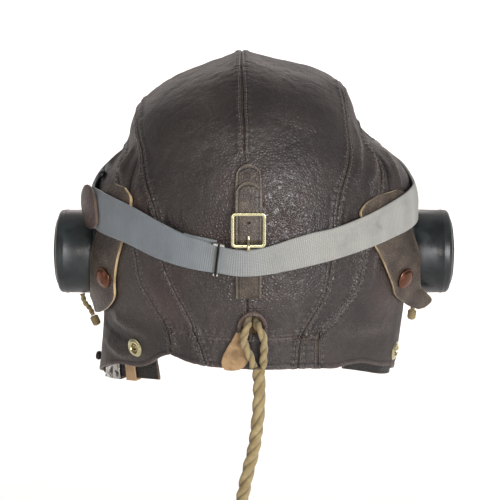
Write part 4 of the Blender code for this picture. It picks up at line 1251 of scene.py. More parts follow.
    def plug(self, seat: Array, axis: Array, palette: Palette) -> Object:
        """The plug: a ribbed rubber body with a collar and a brass contact pin."""
        end = self.plug_length
        grip = [(8.5 - 0.5 * (k % 2), 12.0 + k) for k in range(15)]
        body = [(0, 0.3), (5, 0.3), (5.6, 1.6), (6.5, 4), (7.6, 8), *grip, (8.3, 27.5), (7, 30),
                (7, 32), (7, 43.4), (6.4, 44), (0, 44)]
        pin = [(0, 44.1), (3.4, 44.1), (3.4, 50), (2.9, 50.6), (2.9, 51.6), (3.4, 52.2),
               (3.4, end - 4), (2.4, end - 1.4), (1.4, end - 0.2), (0, end)]
        return make("cord_jack", [lathe(body, seat, axis, 40), lathe(pin, seat, axis, 32, look=1)],
                    [palette[Finish.RUBBER], palette[Finish.BRASS]], ["cord_plug"])


@dataclass
class EarLeads:
    """The short tan leads under the ear cups, each ending in a whipped knot.

    Attributes:
        radius: of a lead, in millimetres.
        left: route of the left lead, in millimetres.
        right: route of the right lead.
    """

    radius: float = 1.8
    left: tuple[tuple[float, float, float], ...] = (
        (-117, -5, -162.7), (-115.4, -5.8, -168.5), (-111.5, -7.5, -173), (-109.6, -8.5, -177))
    right: tuple[tuple[float, float, float], ...] = (
        (111, 9, -162.2), (111.2, 8.2, -167), (110, 4.5, -172.5), (109.2, 2, -176))

    def build(self, palette: Palette) -> None:
        """Builds both leads, with turns of whipping round each knot."""
        for word, route in (("left", self.left), ("right", self.right)):
            path = along(np.array(route, dtype=float) * MM, 40)
            make(f"lead_{word}", [HeadsetCord.twisted(path, self.radius, 2, 7.0, 0.3, 24)],
                 [palette[Finish.COTTON]], [f"ear_lead_{word}"])
            axis = unit(path[-1] - path[-2])
            turns = [(3.0 - 0.32 * (k % 2), 1.4 + 0.42 * k) for k in range(12)]
            knot = [(0, 0.3), (1.9, 0.3), (2.5, 0.8), *turns, (2.4, 6.8), (1.2, 7.4), (0, 7.4)]
            make(f"whipping_{word}", [lathe(knot, path[-1], axis, 28)], [palette[Finish.COTTON]],
                 [f"lead_knot_{word}"])


class Side(Enum):
    """A side of the helmet: its word in the nodes' names and its sign along X."""

    LEFT = ("left", -1)
    RIGHT = ("right", 1)

    @property
    def word(self) -> str:
        """The word in the nodes' names."""
        return self.value[0]

    @property
    def sign(self) -> int:
        """-1 on the wearer's left, +1 on the right."""
        return self.value[1]


NAPE_SEAM = -166.5
SIDE_SEAM = {
    Side.LEFT: rows_of(Place,
        (-24, -166.5), (-27, -155), (-33, -139), (-38, -122), (-39, -105), (-41, -88), (-48, -71),
        (-56, -53), (-72, -39), (-93, -35), (-112, -42), (-130, -56), (-142, -75)),
    Side.RIGHT: rows_of(Place,
        (22, -166.5), (27, -153), (32, -137), (34, -118), (36, -103), (38, -86), (44, -70), (54, -54),
        (62, -34), (88, -22), (110, -36), (130, -55), (142, -75)),
}
POCKET_SEAM = {
    Side.LEFT: rows_of(Place,
        (-37, -166.5), (-45, -151), (-50, -136), (-51, -118), (-54, -99), (-59, -83), (-70, -68),
        (-91, -60), (-110, -69), (-127, -98)),
    Side.RIGHT: rows_of(Place,
        (30, -166.5), (39, -155), (46, -140), (49, -118), (53, -98), (58, -79), (71, -60), (92, -51),
        (110, -65), (127, -98)),
}
NAPE_HEM = rows_of(Place,
    (-38, -184), (-30, -186.5), (-20, -187.5), (0, -188), (13, -189), (24, -190), (31, -192))
HEM = {
    Side.LEFT: rows_of(Place,
        (-38, -184), (-44, -189), (-49, -196), (-54, -199.5), (-60, -201), (-75, -211), (-90, -222),
        (-103, -228), (-111, -223)),
    Side.RIGHT: rows_of(Place,
        (31, -192), (39, -194), (46, -194), (52, -195.5), (58, -200), (70, -207), (90, -220),
        (103, -226), (111, -221)),
}
FACE_EDGE = rows_of(Place,
    (111, -222), (118, -205), (120, -180), (121, -150), (123, -122), (127, -98))
BROW_EDGE = rows_of(Place,
    (127, -98), (134, -84), (142, -75), (156, -68), (180, -64))
BAND_SEAMS = tuple(rows_of(Place, top, end) for top, end in (
    ((-37, -166.5), (-38, -184)), ((-24, -166.5), (-20, -187.4)),
    ((22, -166.5), (21.5, -189.8)), ((30, -166.5), (31, -192)),
))
GATHERED_SEAMS = ("band_1", "band_2", "pocket_right")


class Fold(NamedTuple):
    """A soft ridge, or a dent where the rise is negative, along places on the leather."""

    places: Sequence[Place]
    width: float
    rise: float


FOLDS = tuple(Fold(rows_of(Place, *spots), width, rise) for width, rise, *spots in (
    (2.4, 2.6, (79, -56), (65, -63), (57, -73), (53, -83)),
    (2.4, 2.8, (103, -65), (78, -68), (72, -74), (68, -83)),
    (1.8, -2.0, (88, -60), (71, -66), (64, -76), (61, -86)),
    (2.8, 1.8, (70, -39), (66, -52), (55, -64), (48, -77)),
    (2.2, 1.0, (57, -106), (54, -126), (53, -141)),
    (2.0, 0.8, (48, -119), (45, -134), (44, -150)),
    (1.5, 0.8, (35, -167), (29, -169), (22, -167), (16, -168)),
    (2.0, 1.0, (42, -160), (36, -166), (32, -176)),
    (5.0, 1.2, (38, -170), (50, -172), (66, -178)),
    (2.4, 2.6, (-87, -65), (-88, -73), (-79, -80)),
    (2.2, 2.3, (-65, -54), (-66, -67), (-62, -78)),
    (1.6, -1.6, (-58, -60), (-57, -72), (-54, -84)),
    (2.2, 1.0, (-52, -60), (-52, -75), (-48, -86)),
    (1.8, 1.0, (-40, -160), (-35, -172), (-33, -184)),
    (1.6, 0.9, (-29, -166), (-26, -174), (-25, -186)),
    (1.6, 0.7, (-13, -165), (-16, -174), (-17, -186)),
    (3.0, 0.8, (-49, -126), (-45, -141), (-38, -157)),
    (3.4, 1.8, (-46, -178), (-58, -172), (-72, -168)),
    (3.0, 1.6, (-48, -190), (-60, -194), (-76, -190)),
    (3.0, -1.4, (-52, -183), (-62, -182), (-78, -178)),
    (6.0, 0.5, (-32, -20), (-15, -35), (-10, -54)),
    (3.0, 0.5, (11, -123), (17, -140), (22, -159)),
    (2.6, 0.5, (-10, -139), (-16, -154), (-19, -165)),
))


class Cover(NamedTuple):
    """Something that presses on the leather: its line, half width and lift, in millimetres.

    A thing inside presses outwards: its lift is that of its outer face, below 0.
    """

    line: Array
    half_width: Array
    lift: Array
    inside: bool = False


@dataclass(frozen=True)
class Stitches:
    """A row of machine stitches: short threads that dive into the leather at both ends.

    Attributes:
        thread: radius of the thread, in millimetres.
        pitch: spacing of the stitches.
        length: of a stitch.
    """

    thread: float = 0.2
    pitch: float = 2.4
    length: float = 1.8

    def row(self, line: Array, ups: Array) -> Shape:
        """Six-sided spindles along a line, low at their ends.

        Args:
            line: points on the leather.
            ups: the leather's normals there.

        Returns:
            All stitches as one shape.
        """
        way = np.concatenate([[0], np.cumsum(np.linalg.norm(np.diff(line, axis=0), axis=1))]) / MM
        count = int((way[-1] - 1) / self.pitch)
        middles = (way[-1] - count * self.pitch) / 2 + (np.arange(count) + 0.5) * self.pitch
        share = np.array([0.0, 0.06, 0.3, 0.7, 0.94, 1.0])
        size = np.array([0.0, 0.7, 1.0, 1.0, 0.7, 0.0]) * self.thread * MM
        drop = np.array([-0.55, -0.25, 0.35, 0.35, -0.25, -0.55]) * self.thread * MM
        places = middles[:, None] + (share - 0.5) * self.length
        spine, normal = (np.stack([np.interp(places, way, column) for column in table.T], axis=-1)
                         for table in (line, ups))
        side = unit(np.cross((spine[:, -1] - spine[:, 0])[:, None], normal))
        turn = np.linspace(0, 2 * pi, 6, endpoint=False)
        ring = (np.cos(turn)[:, None] * side[:, :, None] + np.sin(turn)[:, None] * normal[:, :, None])
        points = (spine + normal * drop[:, None])[:, :, None] + ring * size[:, None, None]
        rows, columns = len(share), len(turn)
        faces = grid_faces(rows, columns, loop_columns=True)[None] + (
            np.arange(count)[:, None, None] * rows * columns)
        uv = np.stack(np.broadcast_arrays(share[:, None] * self.length, turn * self.thread), axis=-1)
        uv = np.broadcast_to(uv, (count, rows, columns, 2)).reshape(-1, 2)
        return Shape(points.reshape(-1, 3), faces.reshape(-1, 4).tolist(), uv=uv)


@dataclass
class LeatherShell:
    """The leather panels, sewn edge to edge, with their folds, seams and stitches.

    Attributes:
        thickness: of the leather, in millimetres.
        ridge: how far the doubled seam allowance lifts the leather on both sides of a seam.
        allowance: reach of that ridge from the seam.
        groove: depth of the seam's own valley.
        stitch_offset: distance of each row of stitches from the seam.
        stitch_valley: half width of the valley under a row.
        stitches: the rows' form.
        gather: height of the puckers along a seam.
        gathered: the same along the seams that are drawn in.
        nape_share: depth of the nape's seam as a share of the others'.
        hem_offset: distance of the hem's stitched line from its edge.
        cup_height: height of the ear cups' axis.
        cup_hole: radius of the hole that a cup goes through.
        slit: x, height, half width and half height of the cord's slit.
    """

    thickness: float = 2.0
    ridge: float = 0.6
    allowance: float = 4.6
    groove: float = 1.1
    stitch_offset: float = 2.3
    stitch_valley: float = 0.6
    stitches: Stitches = Stitches()
    gather: float = 0.25
    gathered: float = 0.42
    nape_share: float = 0.35
    hem_offset: float = 3.2
    cup_height: float = -134.0
    cup_hole: float = 28.5
    slit: tuple[float, float, float, float] = (-1.0, -156.7, 6.2, 7.2)

    def __post_init__(self) -> None:
        """Lays out the seams on the flat plan and on the leather."""
        centre = flat_plan([Place(0, NAPE_SEAM), Place(0, -90), Place(0, -30)]).tolist() + [[0, 0]]
        centre += flat_plan([Place(180, -30), Place(180, -64)]).tolist()
        self.centre = along(centre, 500)
        self.side_seam = {side: along(flat_plan(SIDE_SEAM[side]), 500) for side in Side}
        self.pocket_seam = {side: along(flat_plan(POCKET_SEAM[side]), 500) for side in Side}
        nape = self.arc(POCKET_SEAM[Side.LEFT][0].around, POCKET_SEAM[Side.RIGHT][0].around, 200)
        self.seams = {"centre": self.centre, "nape": nape}
        self.seams |= {f"band_{k}": flat_plan(ends) for k, ends in enumerate(BAND_SEAMS)}
        for side in Side:
            self.seams[f"side_{side.word}"] = self.side_seam[side]
            self.seams[f"pocket_{side.word}"] = self.pocket_seam[side]
        self.lines = {name: self.on_leather(plan, 900) for name, plan in self.seams.items()}
        self.hems = [self.on_leather(along(flat_plan(hem), 400), 500) for hem in (*HEM.values(), NAPE_HEM)]
        self.folds = [(self.on_leather(along(flat_plan(fold.places), 120), 120), fold) for fold in FOLDS]
        self.covers: list[Cover] = []

    @staticmethod
    def on_leather(plan: Array, count: int) -> Array:
        """Evenly spaced points on the leather along a curve of the flat plan."""
        return respaced(FORM.point(*from_plan(plan)), np.linspace(0, 1, count))

    @staticmethod
    def arc(start: float, end: float, count: int) -> Array:
        """A stretch of the plan at the nape seam's height, between two angles."""
        return flat_plan([Place(a, NAPE_SEAM) for a in np.linspace(start, end, count)])

    def relief(self, base: Array) -> tuple[Array, dict[str, Array]]:
        """How far the leather stands off its smooth form, in millimetres.

        The sum of what the hide, the folds, the seams and the hems give; under a strap or flap it
        is held below the lift. Each gives four numbers a point: rise, wear, painted shade and polish.

        Args:
            base: points on the smooth form.

        Returns:
            The relief, and the marks "worn", "gloss" and "crease", the last painted shade, for the
            material.
        """
        total = self.hide(base)
        for line, fold in self.folds:
            total = total + self.folded(base, line, fold)
        for name, line in self.lines.items():
            total = total + self.seamed(base, name, line)
        for line in self.hems:
            total = total + self.hemmed(base, line)
        rise, worn, dark, polish = total
        rise = self.pressed(base, rise)
        x, y, z = np.moveaxis(base, -1, 0) / MM
        middle = np.exp(-(x / 72) ** 2 - ((z + 104) / 44) ** 2) * (y < 0)
        gloss = 0.1 + 0.95 * middle + 0.35 * Noise(16).at(base, 26) + polish
        # The mark "crease" is the painted shade of the seams, dents and valleys.
        marks = {"worn": worn, "gloss": gloss, "crease": dark}
        return rise, {name: np.clip(mark, 0, 1).ravel() for name, mark in marks.items()}

    @staticmethod
    def hide(base: Array) -> Array:
        """Soft noise at two scales, small wrinkles, slanting ones in patches, and uneven wear."""
        wrinkle = 1 - np.abs(Noise(13).at(base, 8.5))
        slant = np.stack([0.3 * (base[..., 0] * 0.5 + base[..., 2]), base[..., 1],
                          base[..., 0] - 0.5 * base[..., 2]], axis=-1)
        patchy = np.clip(0.5 + 1.2 * Noise(18).at(base, 34), 0, 1)
        rise = (1.1 * Noise(11).at(base, 48) + 0.5 * Noise(12).at(base, 17) - 0.3 * wrinkle ** 5
                + 0.34 * patchy * Noise(17).at(slant, 5))
        return np.stack([rise, 0.2 + 0.3 * Noise(14).at(base, 22), 0 * rise, 0 * rise])

    @staticmethod
    def folded(base: Array, line: Array, fold: Fold) -> Array:
        """A fold: the bell exp(-(d / width)^2), faded at its ends, rubbed on top, painted shade in a dent.
        """
        distance, way = nearest(base, line)
        length = np.linalg.norm(np.diff(line, axis=0), axis=1).sum() / MM
        ends = np.sin(pi * np.clip(way / length, 0, 1)) ** 0.7
        bell = fold.rise * np.exp(-(distance / fold.width) ** 2) * ends
        ridge, dent = np.maximum(bell, 0), np.maximum(-bell, 0)
        # Painted shade in a dent, as the third number.
        return np.stack([bell, 0.25 * ridge, 0.6 * dent, 0.4 * ridge])

    def seamed(self, base: Array, name: str, line: Array) -> Array:
        """A seam: a flat ridge less its valley and one under each row of stitches, puckered."""
        distance, way = nearest(base, line)
        gather = self.gathered if name in GATHERED_SEAMS else self.gather
        depth = self.nape_share if name == "nape" else 1.0
        flat = smooth_step(self.allowance + 1.2, self.allowance - 1.2, distance)
        threads = np.exp(-((distance - self.stitch_offset) / self.stitch_valley) ** 2)
        wave = np.sin(2 * pi * way / (1.9 * self.stitches.pitch) + 2.6 * Noise(15).at(base, 7))
        pucker = gather * wave * np.exp(-((distance - 3.4) / 2.2) ** 2)
        valley = self.groove * np.exp(-(distance / 0.75) ** 2)
        rise = depth * (self.ridge * flat - valley - 0.4 * threads) + pucker
        worn = 0.4 * np.exp(-((distance - 1.2) / 0.6) ** 2) + 0.1 * flat
        # Painted shade in the seam's groove, in the valleys under the stitches and in the puckers' hollows.
        dark = depth * (0.85 * np.exp(-(distance / 0.6) ** 2) + 0.4 * threads) + np.maximum(-pucker, 0)
        return np.stack([rise, worn, dark, 0.3 * depth * flat])

    def hemmed(self, base: Array, line: Array) -> Array:
        """A hem: a valley under its row of stitches, with painted shade in it, and a rubbed edge."""
        distance, _ = nearest(base, line)
        threads = np.exp(-((distance - self.hem_offset) / self.stitch_valley) ** 2)
        return np.stack([-0.4 * threads, np.exp(-(distance / 1.1) ** 2), 0.5 * threads, 0 * threads])

    def pressed(self, base: Array, rise: Array) -> Array:
        """The relief, held down under everything that lies on the leather.

        The limit is the lift under the cover and grows by a third of the distance beyond it.
        """
        for cover in self.covers:
            distance, way = nearest(base, cover.line)
            length = np.linalg.norm(np.diff(cover.line, axis=0), axis=1)
            places = np.concatenate([[0], np.cumsum(length)]) / MM
            half_width = np.interp(way, places, cover.half_width)
            beyond = 0.33 * np.maximum(distance - half_width, 0)
            limit = np.interp(way, places, cover.lift)
            if cover.inside:
                rise = np.maximum(rise, limit + self.thickness + 0.25 - beyond)
                continue
            limit = limit - 0.25 + beyond
            over = rise - limit
            rise = limit + np.where(over < 0, over, 0) - 0.15 * np.exp(-np.abs(over) / 0.15)
        return rise

    def panel(self, name: str, plan: Array, palette: Palette, hole: str = "") -> Object:
        """One panel of leather from a grid on the flat plan.

        Args:
            name: the CAD node that it stands for.
            plan: the grid on the plan.
            palette: the finishes.
            hole: "cup" or "slit" where the panel has one.

        Returns:
            The panel's object.
        """
        around, depth = from_plan(plan)
        base, normals = FORM.point(around, depth), FORM.normal(around, depth)
        rise, marks = self.relief(base)
        points = (base + normals * rise[..., None] * MM).reshape(-1, 3)
        normals = normals.reshape(-1, 3)
        quads = grid_faces(*plan.shape[:2])
        if hole == "cup":
            centre = np.array([0.0, 0.0, self.cup_height * MM])
            share = np.hypot(points[:, 1] - centre[1], points[:, 2] - centre[2]) / (self.cup_hole * MM)
            points, quads = open_hole(points, quads, share, centre, np.array([1.0, 0.0, 0.0]))
        if hole == "slit":
            x, height, half_width, half_height = self.slit
            centre = FORM.back_place(x, height, 0.0)
            offset = (points - centre) / MM
            share = np.hypot(offset[:, 0] / half_width, offset[:, 2] / half_height)
            points, quads = open_hole(points, quads, share, centre, np.array([0.0, 1.0, 0.0]))
        shapes = [tidy(s) for s in slab(points, quads, normals, self.thickness, 0.22, marks=marks)]
        looks = [palette[Finish.BROWN], palette[Finish.SUEDE], palette[Finish.EDGE]]
        return make(name, shapes, looks, [name.replace("_panel", "")])

    def build(self, palette: Palette) -> None:
        """Builds every panel and the stitches along the seams."""
        for side in Side:
            self.build_side(side, palette)
        self.build_nape(palette)
        self.stitch(palette)

    def build_side(self, side: Side, palette: Palette) -> None:
        """The crown half, the side panel and the ear pocket of one side, between their seams."""
        brow = flat_plan([Place(p.around * side.sign, p.height) for p in BROW_EDGE])
        side_seam, pocket_seam = self.side_seam[side], self.pocket_seam[side]
        side_start, pocket_start = SIDE_SEAM[side][0].around, POCKET_SEAM[side][0].around

        u, w = close_at_ends(100), np.linspace(0, 1, 340)
        first = respaced(self.arc(0, side_start, 100), u)
        last = respaced(along(brow[:1:-1], 200), u)
        middle, edge = respaced(self.centre, w), respaced(side_seam, w)
        plan = patch(middle, edge, pinned(first, middle[0], edge[0]), pinned(last, middle[-1], edge[-1]),
                     u, w)
        self.panel(f"crown_{side.word}_panel", plan, palette, hole="slit")

        u, w = close_at_ends(56), np.linspace(0, 1, 340)
        inner, outer = respaced(side_seam, w), respaced(pocket_seam, w)
        first = respaced(self.arc(side_start, pocket_start, 60), u)
        last = respaced(along(brow[2::-1], 200), u)
        plan = patch(inner, outer, pinned(first, inner[0], outer[0]), pinned(last, inner[-1], outer[-1]),
                     u, w)
        self.panel(f"side_{side.word}_panel", plan, palette)

        u, w = close_at_ends(180, 0.6), close_at_ends(180, 0.6)
        corner = flat_plan([HEM[side][0]])
        band_end = respaced(np.concatenate([corner, pocket_seam[:1]]), np.linspace(0, 1, 40))
        seam = np.concatenate([band_end[:-1], pocket_seam])
        half = len(seam) // 2
        rear, over = respaced(seam[:half], w), respaced(seam[half - 1:], u)
        hem = respaced(along(flat_plan(HEM[side]), 400), u)
        face_places = [Place(p.around * side.sign, p.height) for p in FACE_EDGE]
        face = respaced(along(flat_plan(face_places), 400), w)
        hem = pinned(hem, rear[0], face[0])
        face = pinned(face, face[0], over[-1])
        self.panel(f"pocket_{side.word}_panel", patch(rear, face, hem, over, u, w), palette, hole="cup")

    def build_nape(self, palette: Palette) -> None:
        """The neck band, from the nape seam down to the hem."""
        columns, rows = np.linspace(0, 1, 260), close_at_ends(44, 0.6)[:, None, None]
        top = respaced(self.seams["nape"], columns)
        hem = respaced(along(flat_plan(NAPE_HEM), 400), columns)
        self.panel("neck_band_panel", (1 - rows) * top + rows * hem, palette)

    def stitch(self, palette: Palette) -> None:
        """Stitches in a row on each side of every seam; the nape's has them on its right third."""
        shapes = []
        for name, line in self.lines.items():
            if name == "nape":
                line = line[2 * len(line) // 3:]
            flat = FORM.settle(line, np.zeros(len(line)))
            up = unit(FORM.settle(line, np.ones(len(line))) - flat)
            across = np.cross(up, unit(np.gradient(line, axis=0)))
            for sign in (-1, 1):
                base = line + across * sign * self.stitch_offset * MM
                rise, _ = self.relief(base)
                shapes.append(self.stitches.row(base + up * rise[:, None] * MM, up))
        make("seam_stitches", shapes, [palette[Finish.THREAD]])


@dataclass
class EarCups:
    """The rubber ear cups: a moulded barrel through each pocket, with a recess for the ear.

    Attributes:
        radius: of the barrel, in millimetres.
        inner: distance of the inner end from the middle of the helmet.
        face: distance of the outer face's edge from the middle.
        crowning: how far the outer face bulges.
        height: height of the cups' axis.
        edge: radius of the rounded edges.
        recess_radius: radius of the recess for the ear.
        recess_depth: its depth.
    """

    radius: float = 28.5
    inner: float = 96.0
    face: float = 131.6
    crowning: float = 4.0
    height: float = -134.0
    edge: float = 3.0
    recess_radius: float = 20.0
    recess_depth: float = 12.0

    def profile(self) -> list[tuple[float, float]]:
        """The cup's outline: recess, rolled inner lip, flange, barrel, rounded edge, ringed face."""
        r, e, near, far = self.radius, self.edge, self.inner, self.face
        floor, hollow = near + self.recess_depth, self.recess_radius
        quarter = np.linspace(0, pi / 2, 7)
        lip = [(r - e + e * sin(t), near + e - e * cos(t)) for t in quarter]
        edge = [(r - 0.3 - e + e * cos(t), far - e + e * sin(t)) for t in quarter]
        reach = r - 0.3 - e
        dome = [(reach * share, far + self.crowning * (1 - share ** 2) + bump)
                for share, bump in ((0.95, 0.0), (0.9, 0.0), (0.88, 0.45), (0.84, 0.5), (0.82, 0.0),
                                    (0.7, 0.0), (0.5, 0.0), (0.3, 0.0), (0.27, -0.35), (0.24, -0.35),
                                    (0.21, 0.0), (0.1, 0.0))]
        return [(0, floor), (hollow * 0.6, floor), (hollow - 0.6, floor), (hollow, floor - 0.6),
                (hollow, near + 1.2), (hollow + 0.4, near + 0.4), (hollow + 1.4, near),
                (r - e - 1, near), *lip, (r, near + 5.2), (r + 0.1, near + 6.2),
                (r + 0.5, near + 6.6), (r + 0.55, near + 9.4), (r + 0.1, near + 9.9),
                (r - 0.35, near + 10.3), (r - 0.35, near + 11), (r - 0.1, near + 11.5),
                (r - 0.1, near + 17), (r - 0.25, near + 24), (r - 0.3, far - e - 3.2),
                (r - 0.05, far - e - 2.8), (r - 0.05, far - e - 1.6), (r - 0.3, far - e - 1.2),
                *edge, *dome, (0, far + self.crowning)]

    def build(self, palette: Palette) -> None:
        """Builds both cups."""
        seat = np.array([0.0, 0.0, self.height * MM])
        for side in Side:
            shape = lathe(self.profile(), seat, np.array([side.sign, 0.0, 0.0]), 96)
            make(f"rubber_cup_{side.word}", [shape], [palette[Finish.RUBBER]],
                 [f"ear_cup_{side.word}"], sharp_angle=60)


class FlapRow(NamedTuple):
    """One height of a flap: angle and lift of its back and its front edge, in millimetres."""

    height: float
    back: float
    front: float
    back_lift: float
    front_lift: float


EAR_TAB = {
    Side.LEFT: rows_of(FlapRow,
        (-79, 56, 62, 0.8, 0.8), (-82, 52.5, 66, 0.8, 0.8), (-88, 51, 70, 0.8, 0.8),
        (-100, 53, 72, 0.8, 0.8), (-112, 55.5, 73.5, 0.8, 0.9), (-118, 57, 74, 0.8, 2.5),
        (-126, 59, 74.5, 0.8, 6), (-136, 61, 74.5, 0.8, 8), (-146, 62, 74.5, 0.8, 8.5),
        (-154, 62.5, 75.5, 1, 8.5), (-163, 66.5, 81, 1.5, 8), (-169, 71.5, 86, 2.5, 7),
        (-173, 77, 88, 3.2, 6), (-175.5, 82, 89, 3.8, 5.5)),
    Side.RIGHT: rows_of(FlapRow,
        (-83, 55, 63, 0.8, 0.8), (-85.5, 50, 66, 0.8, 0.8), (-89, 47, 69, 0.8, 0.8),
        (-98, 47.5, 71, 0.8, 0.8), (-112, 51, 72.5, 0.8, 0.9), (-118, 53, 73.5, 0.8, 2.5),
        (-126, 55.5, 74, 0.8, 6), (-136, 58.5, 74, 0.8, 8), (-146, 61.5, 74.5, 0.8, 8.8),
        (-153.5, 63.5, 76.3, 1, 10.2), (-158, 66.5, 78, 1.3, 14), (-161.5, 69.5, 79.5, 1.9, 16.5),
        (-164.5, 72, 80, 3.5, 17), (-167.5, 75, 79.5, 7, 14.5), (-169, 76.5, 78.5, 9.5, 12.5)),
}
STRAP_TONGUE = rows_of(FlapRow,
    (-86, 70.5, 73.5, 6.6, 7.2), (-87.2, 68, 76, 6.5, 7.8), (-89.5, 66, 78, 6.5, 8.2),
    (-93, 65, 79, 6.5, 8.6), (-98, 64.5, 79, 6.5, 8.8), (-103, 65, 78.8, 6.5, 8.6),
    (-107, 66.5, 77.5, 6.5, 8.3), (-109.5, 68.5, 76, 6.5, 7.9), (-111, 71, 74, 6.6, 7.5))


@dataclass
class Flap:
    """A leather flap that lies on the helmet or stands off it.

    Attributes:
        rows: its edges at each height.
        side: the side of the helmet it is on.
        thickness: of its leather, in millimetres.
        waviness: how far its surface is from flat.
    """

    rows: Sequence[FlapRow]
    side: Side
    thickness: float = 2.0
    waviness: float = 0.25

    def points(self, share: Array, height: Array, more_lift: float = 0.0) -> Array:
        """Points at a share of the way from back to front edge, and at heights.

        The rows' angles and lifts run on smooth curves over the height, and the lift grows in a
        straight line across the flap.
        """
        table = np.array(self.rows, dtype=float)
        back, front, back_lift, front_lift = (
            hermite(-table[:, 0], table[:, k], -height) for k in (1, 2, 3, 4))
        around = np.radians(back + (front - back) * share) * self.side.sign
        lift = back_lift + (front_lift - back_lift) * share + more_lift
        return FORM.lifted(around, FORM.depth(height), lift)

    def seat(self, share: float, height: float) -> tuple[Array, Array]:
        """Point and normal on the flap's outer face."""
        near = np.array([[share, height], [share + 0.02, height], [share, height - 0.5]])
        at, front, down = self.points(near[:, 0], near[:, 1], self.thickness)
        return at, unit(np.cross(down - at, front - at) * self.side.sign)

    def cover(self) -> Cover:
        """What the flap's back edge presses on, as a line down its lying part."""
        table = np.array(self.rows, dtype=float)
        middle = (table[:, 1] + table[:, 2]) / 2 * self.side.sign
        line = FORM.point(np.radians(middle), FORM.depth(table[:, 0]))
        edge = FORM.point(np.radians(table[:, 1] * self.side.sign), FORM.depth(table[:, 0]))
        return Cover(along(line, 200), np.interp(np.linspace(0, 1, 200), np.linspace(0, 1, len(line)),
                                                 np.linalg.norm(line - edge, axis=1) / MM + 0.5),
                     np.full(200, float(table[:, 3:].min())))

    def build(self, name: str, node: str, looks: Sequence[Material], slot: str,
              rows: int = 120, columns: int = 44) -> Object:
        """The flap as a slab with cut edges, rounded at its upper end."""
        table = np.array(self.rows, dtype=float)
        share = close_at_ends(columns, 0.5)[None, :]
        top, bottom = table[0, 0], table[-1, 0]
        height = (top + (bottom - top) * close_at_ends(rows, 0.5))[:, None]
        share, height = np.broadcast_arrays(share, height)
        points = self.points(share, height, self.thickness)
        quads = grid_faces(rows, columns)
        out = FORM.normal(np.radians(70) * self.side.sign, FORM.depth(height))
        quads = facing(points.reshape(-1, 3), quads, out.reshape(-1, 3))
        normals = point_normals(points.reshape(-1, 3), quads)
        points = points.reshape(-1, 3)
        points = points + normals * (self.waviness * Noise(21).at(points, 11))[:, None] * MM
        worn = np.clip(0.3 + 0.4 * Noise(22).at(points, 8), 0, 1)
        edge = np.minimum(share, 1 - share).ravel() * 14
        worn = np.clip(worn + 0.5 * np.exp(-edge ** 2), 0, 1)
        gloss = np.clip(0.45 + 0.5 * Noise(23).at(points, 15), 0, 1)
        shapes = slab(points, quads, normals, self.thickness, 0.35, marks={"worn": worn, "gloss": gloss})
        return make(name, shapes, looks, [node])


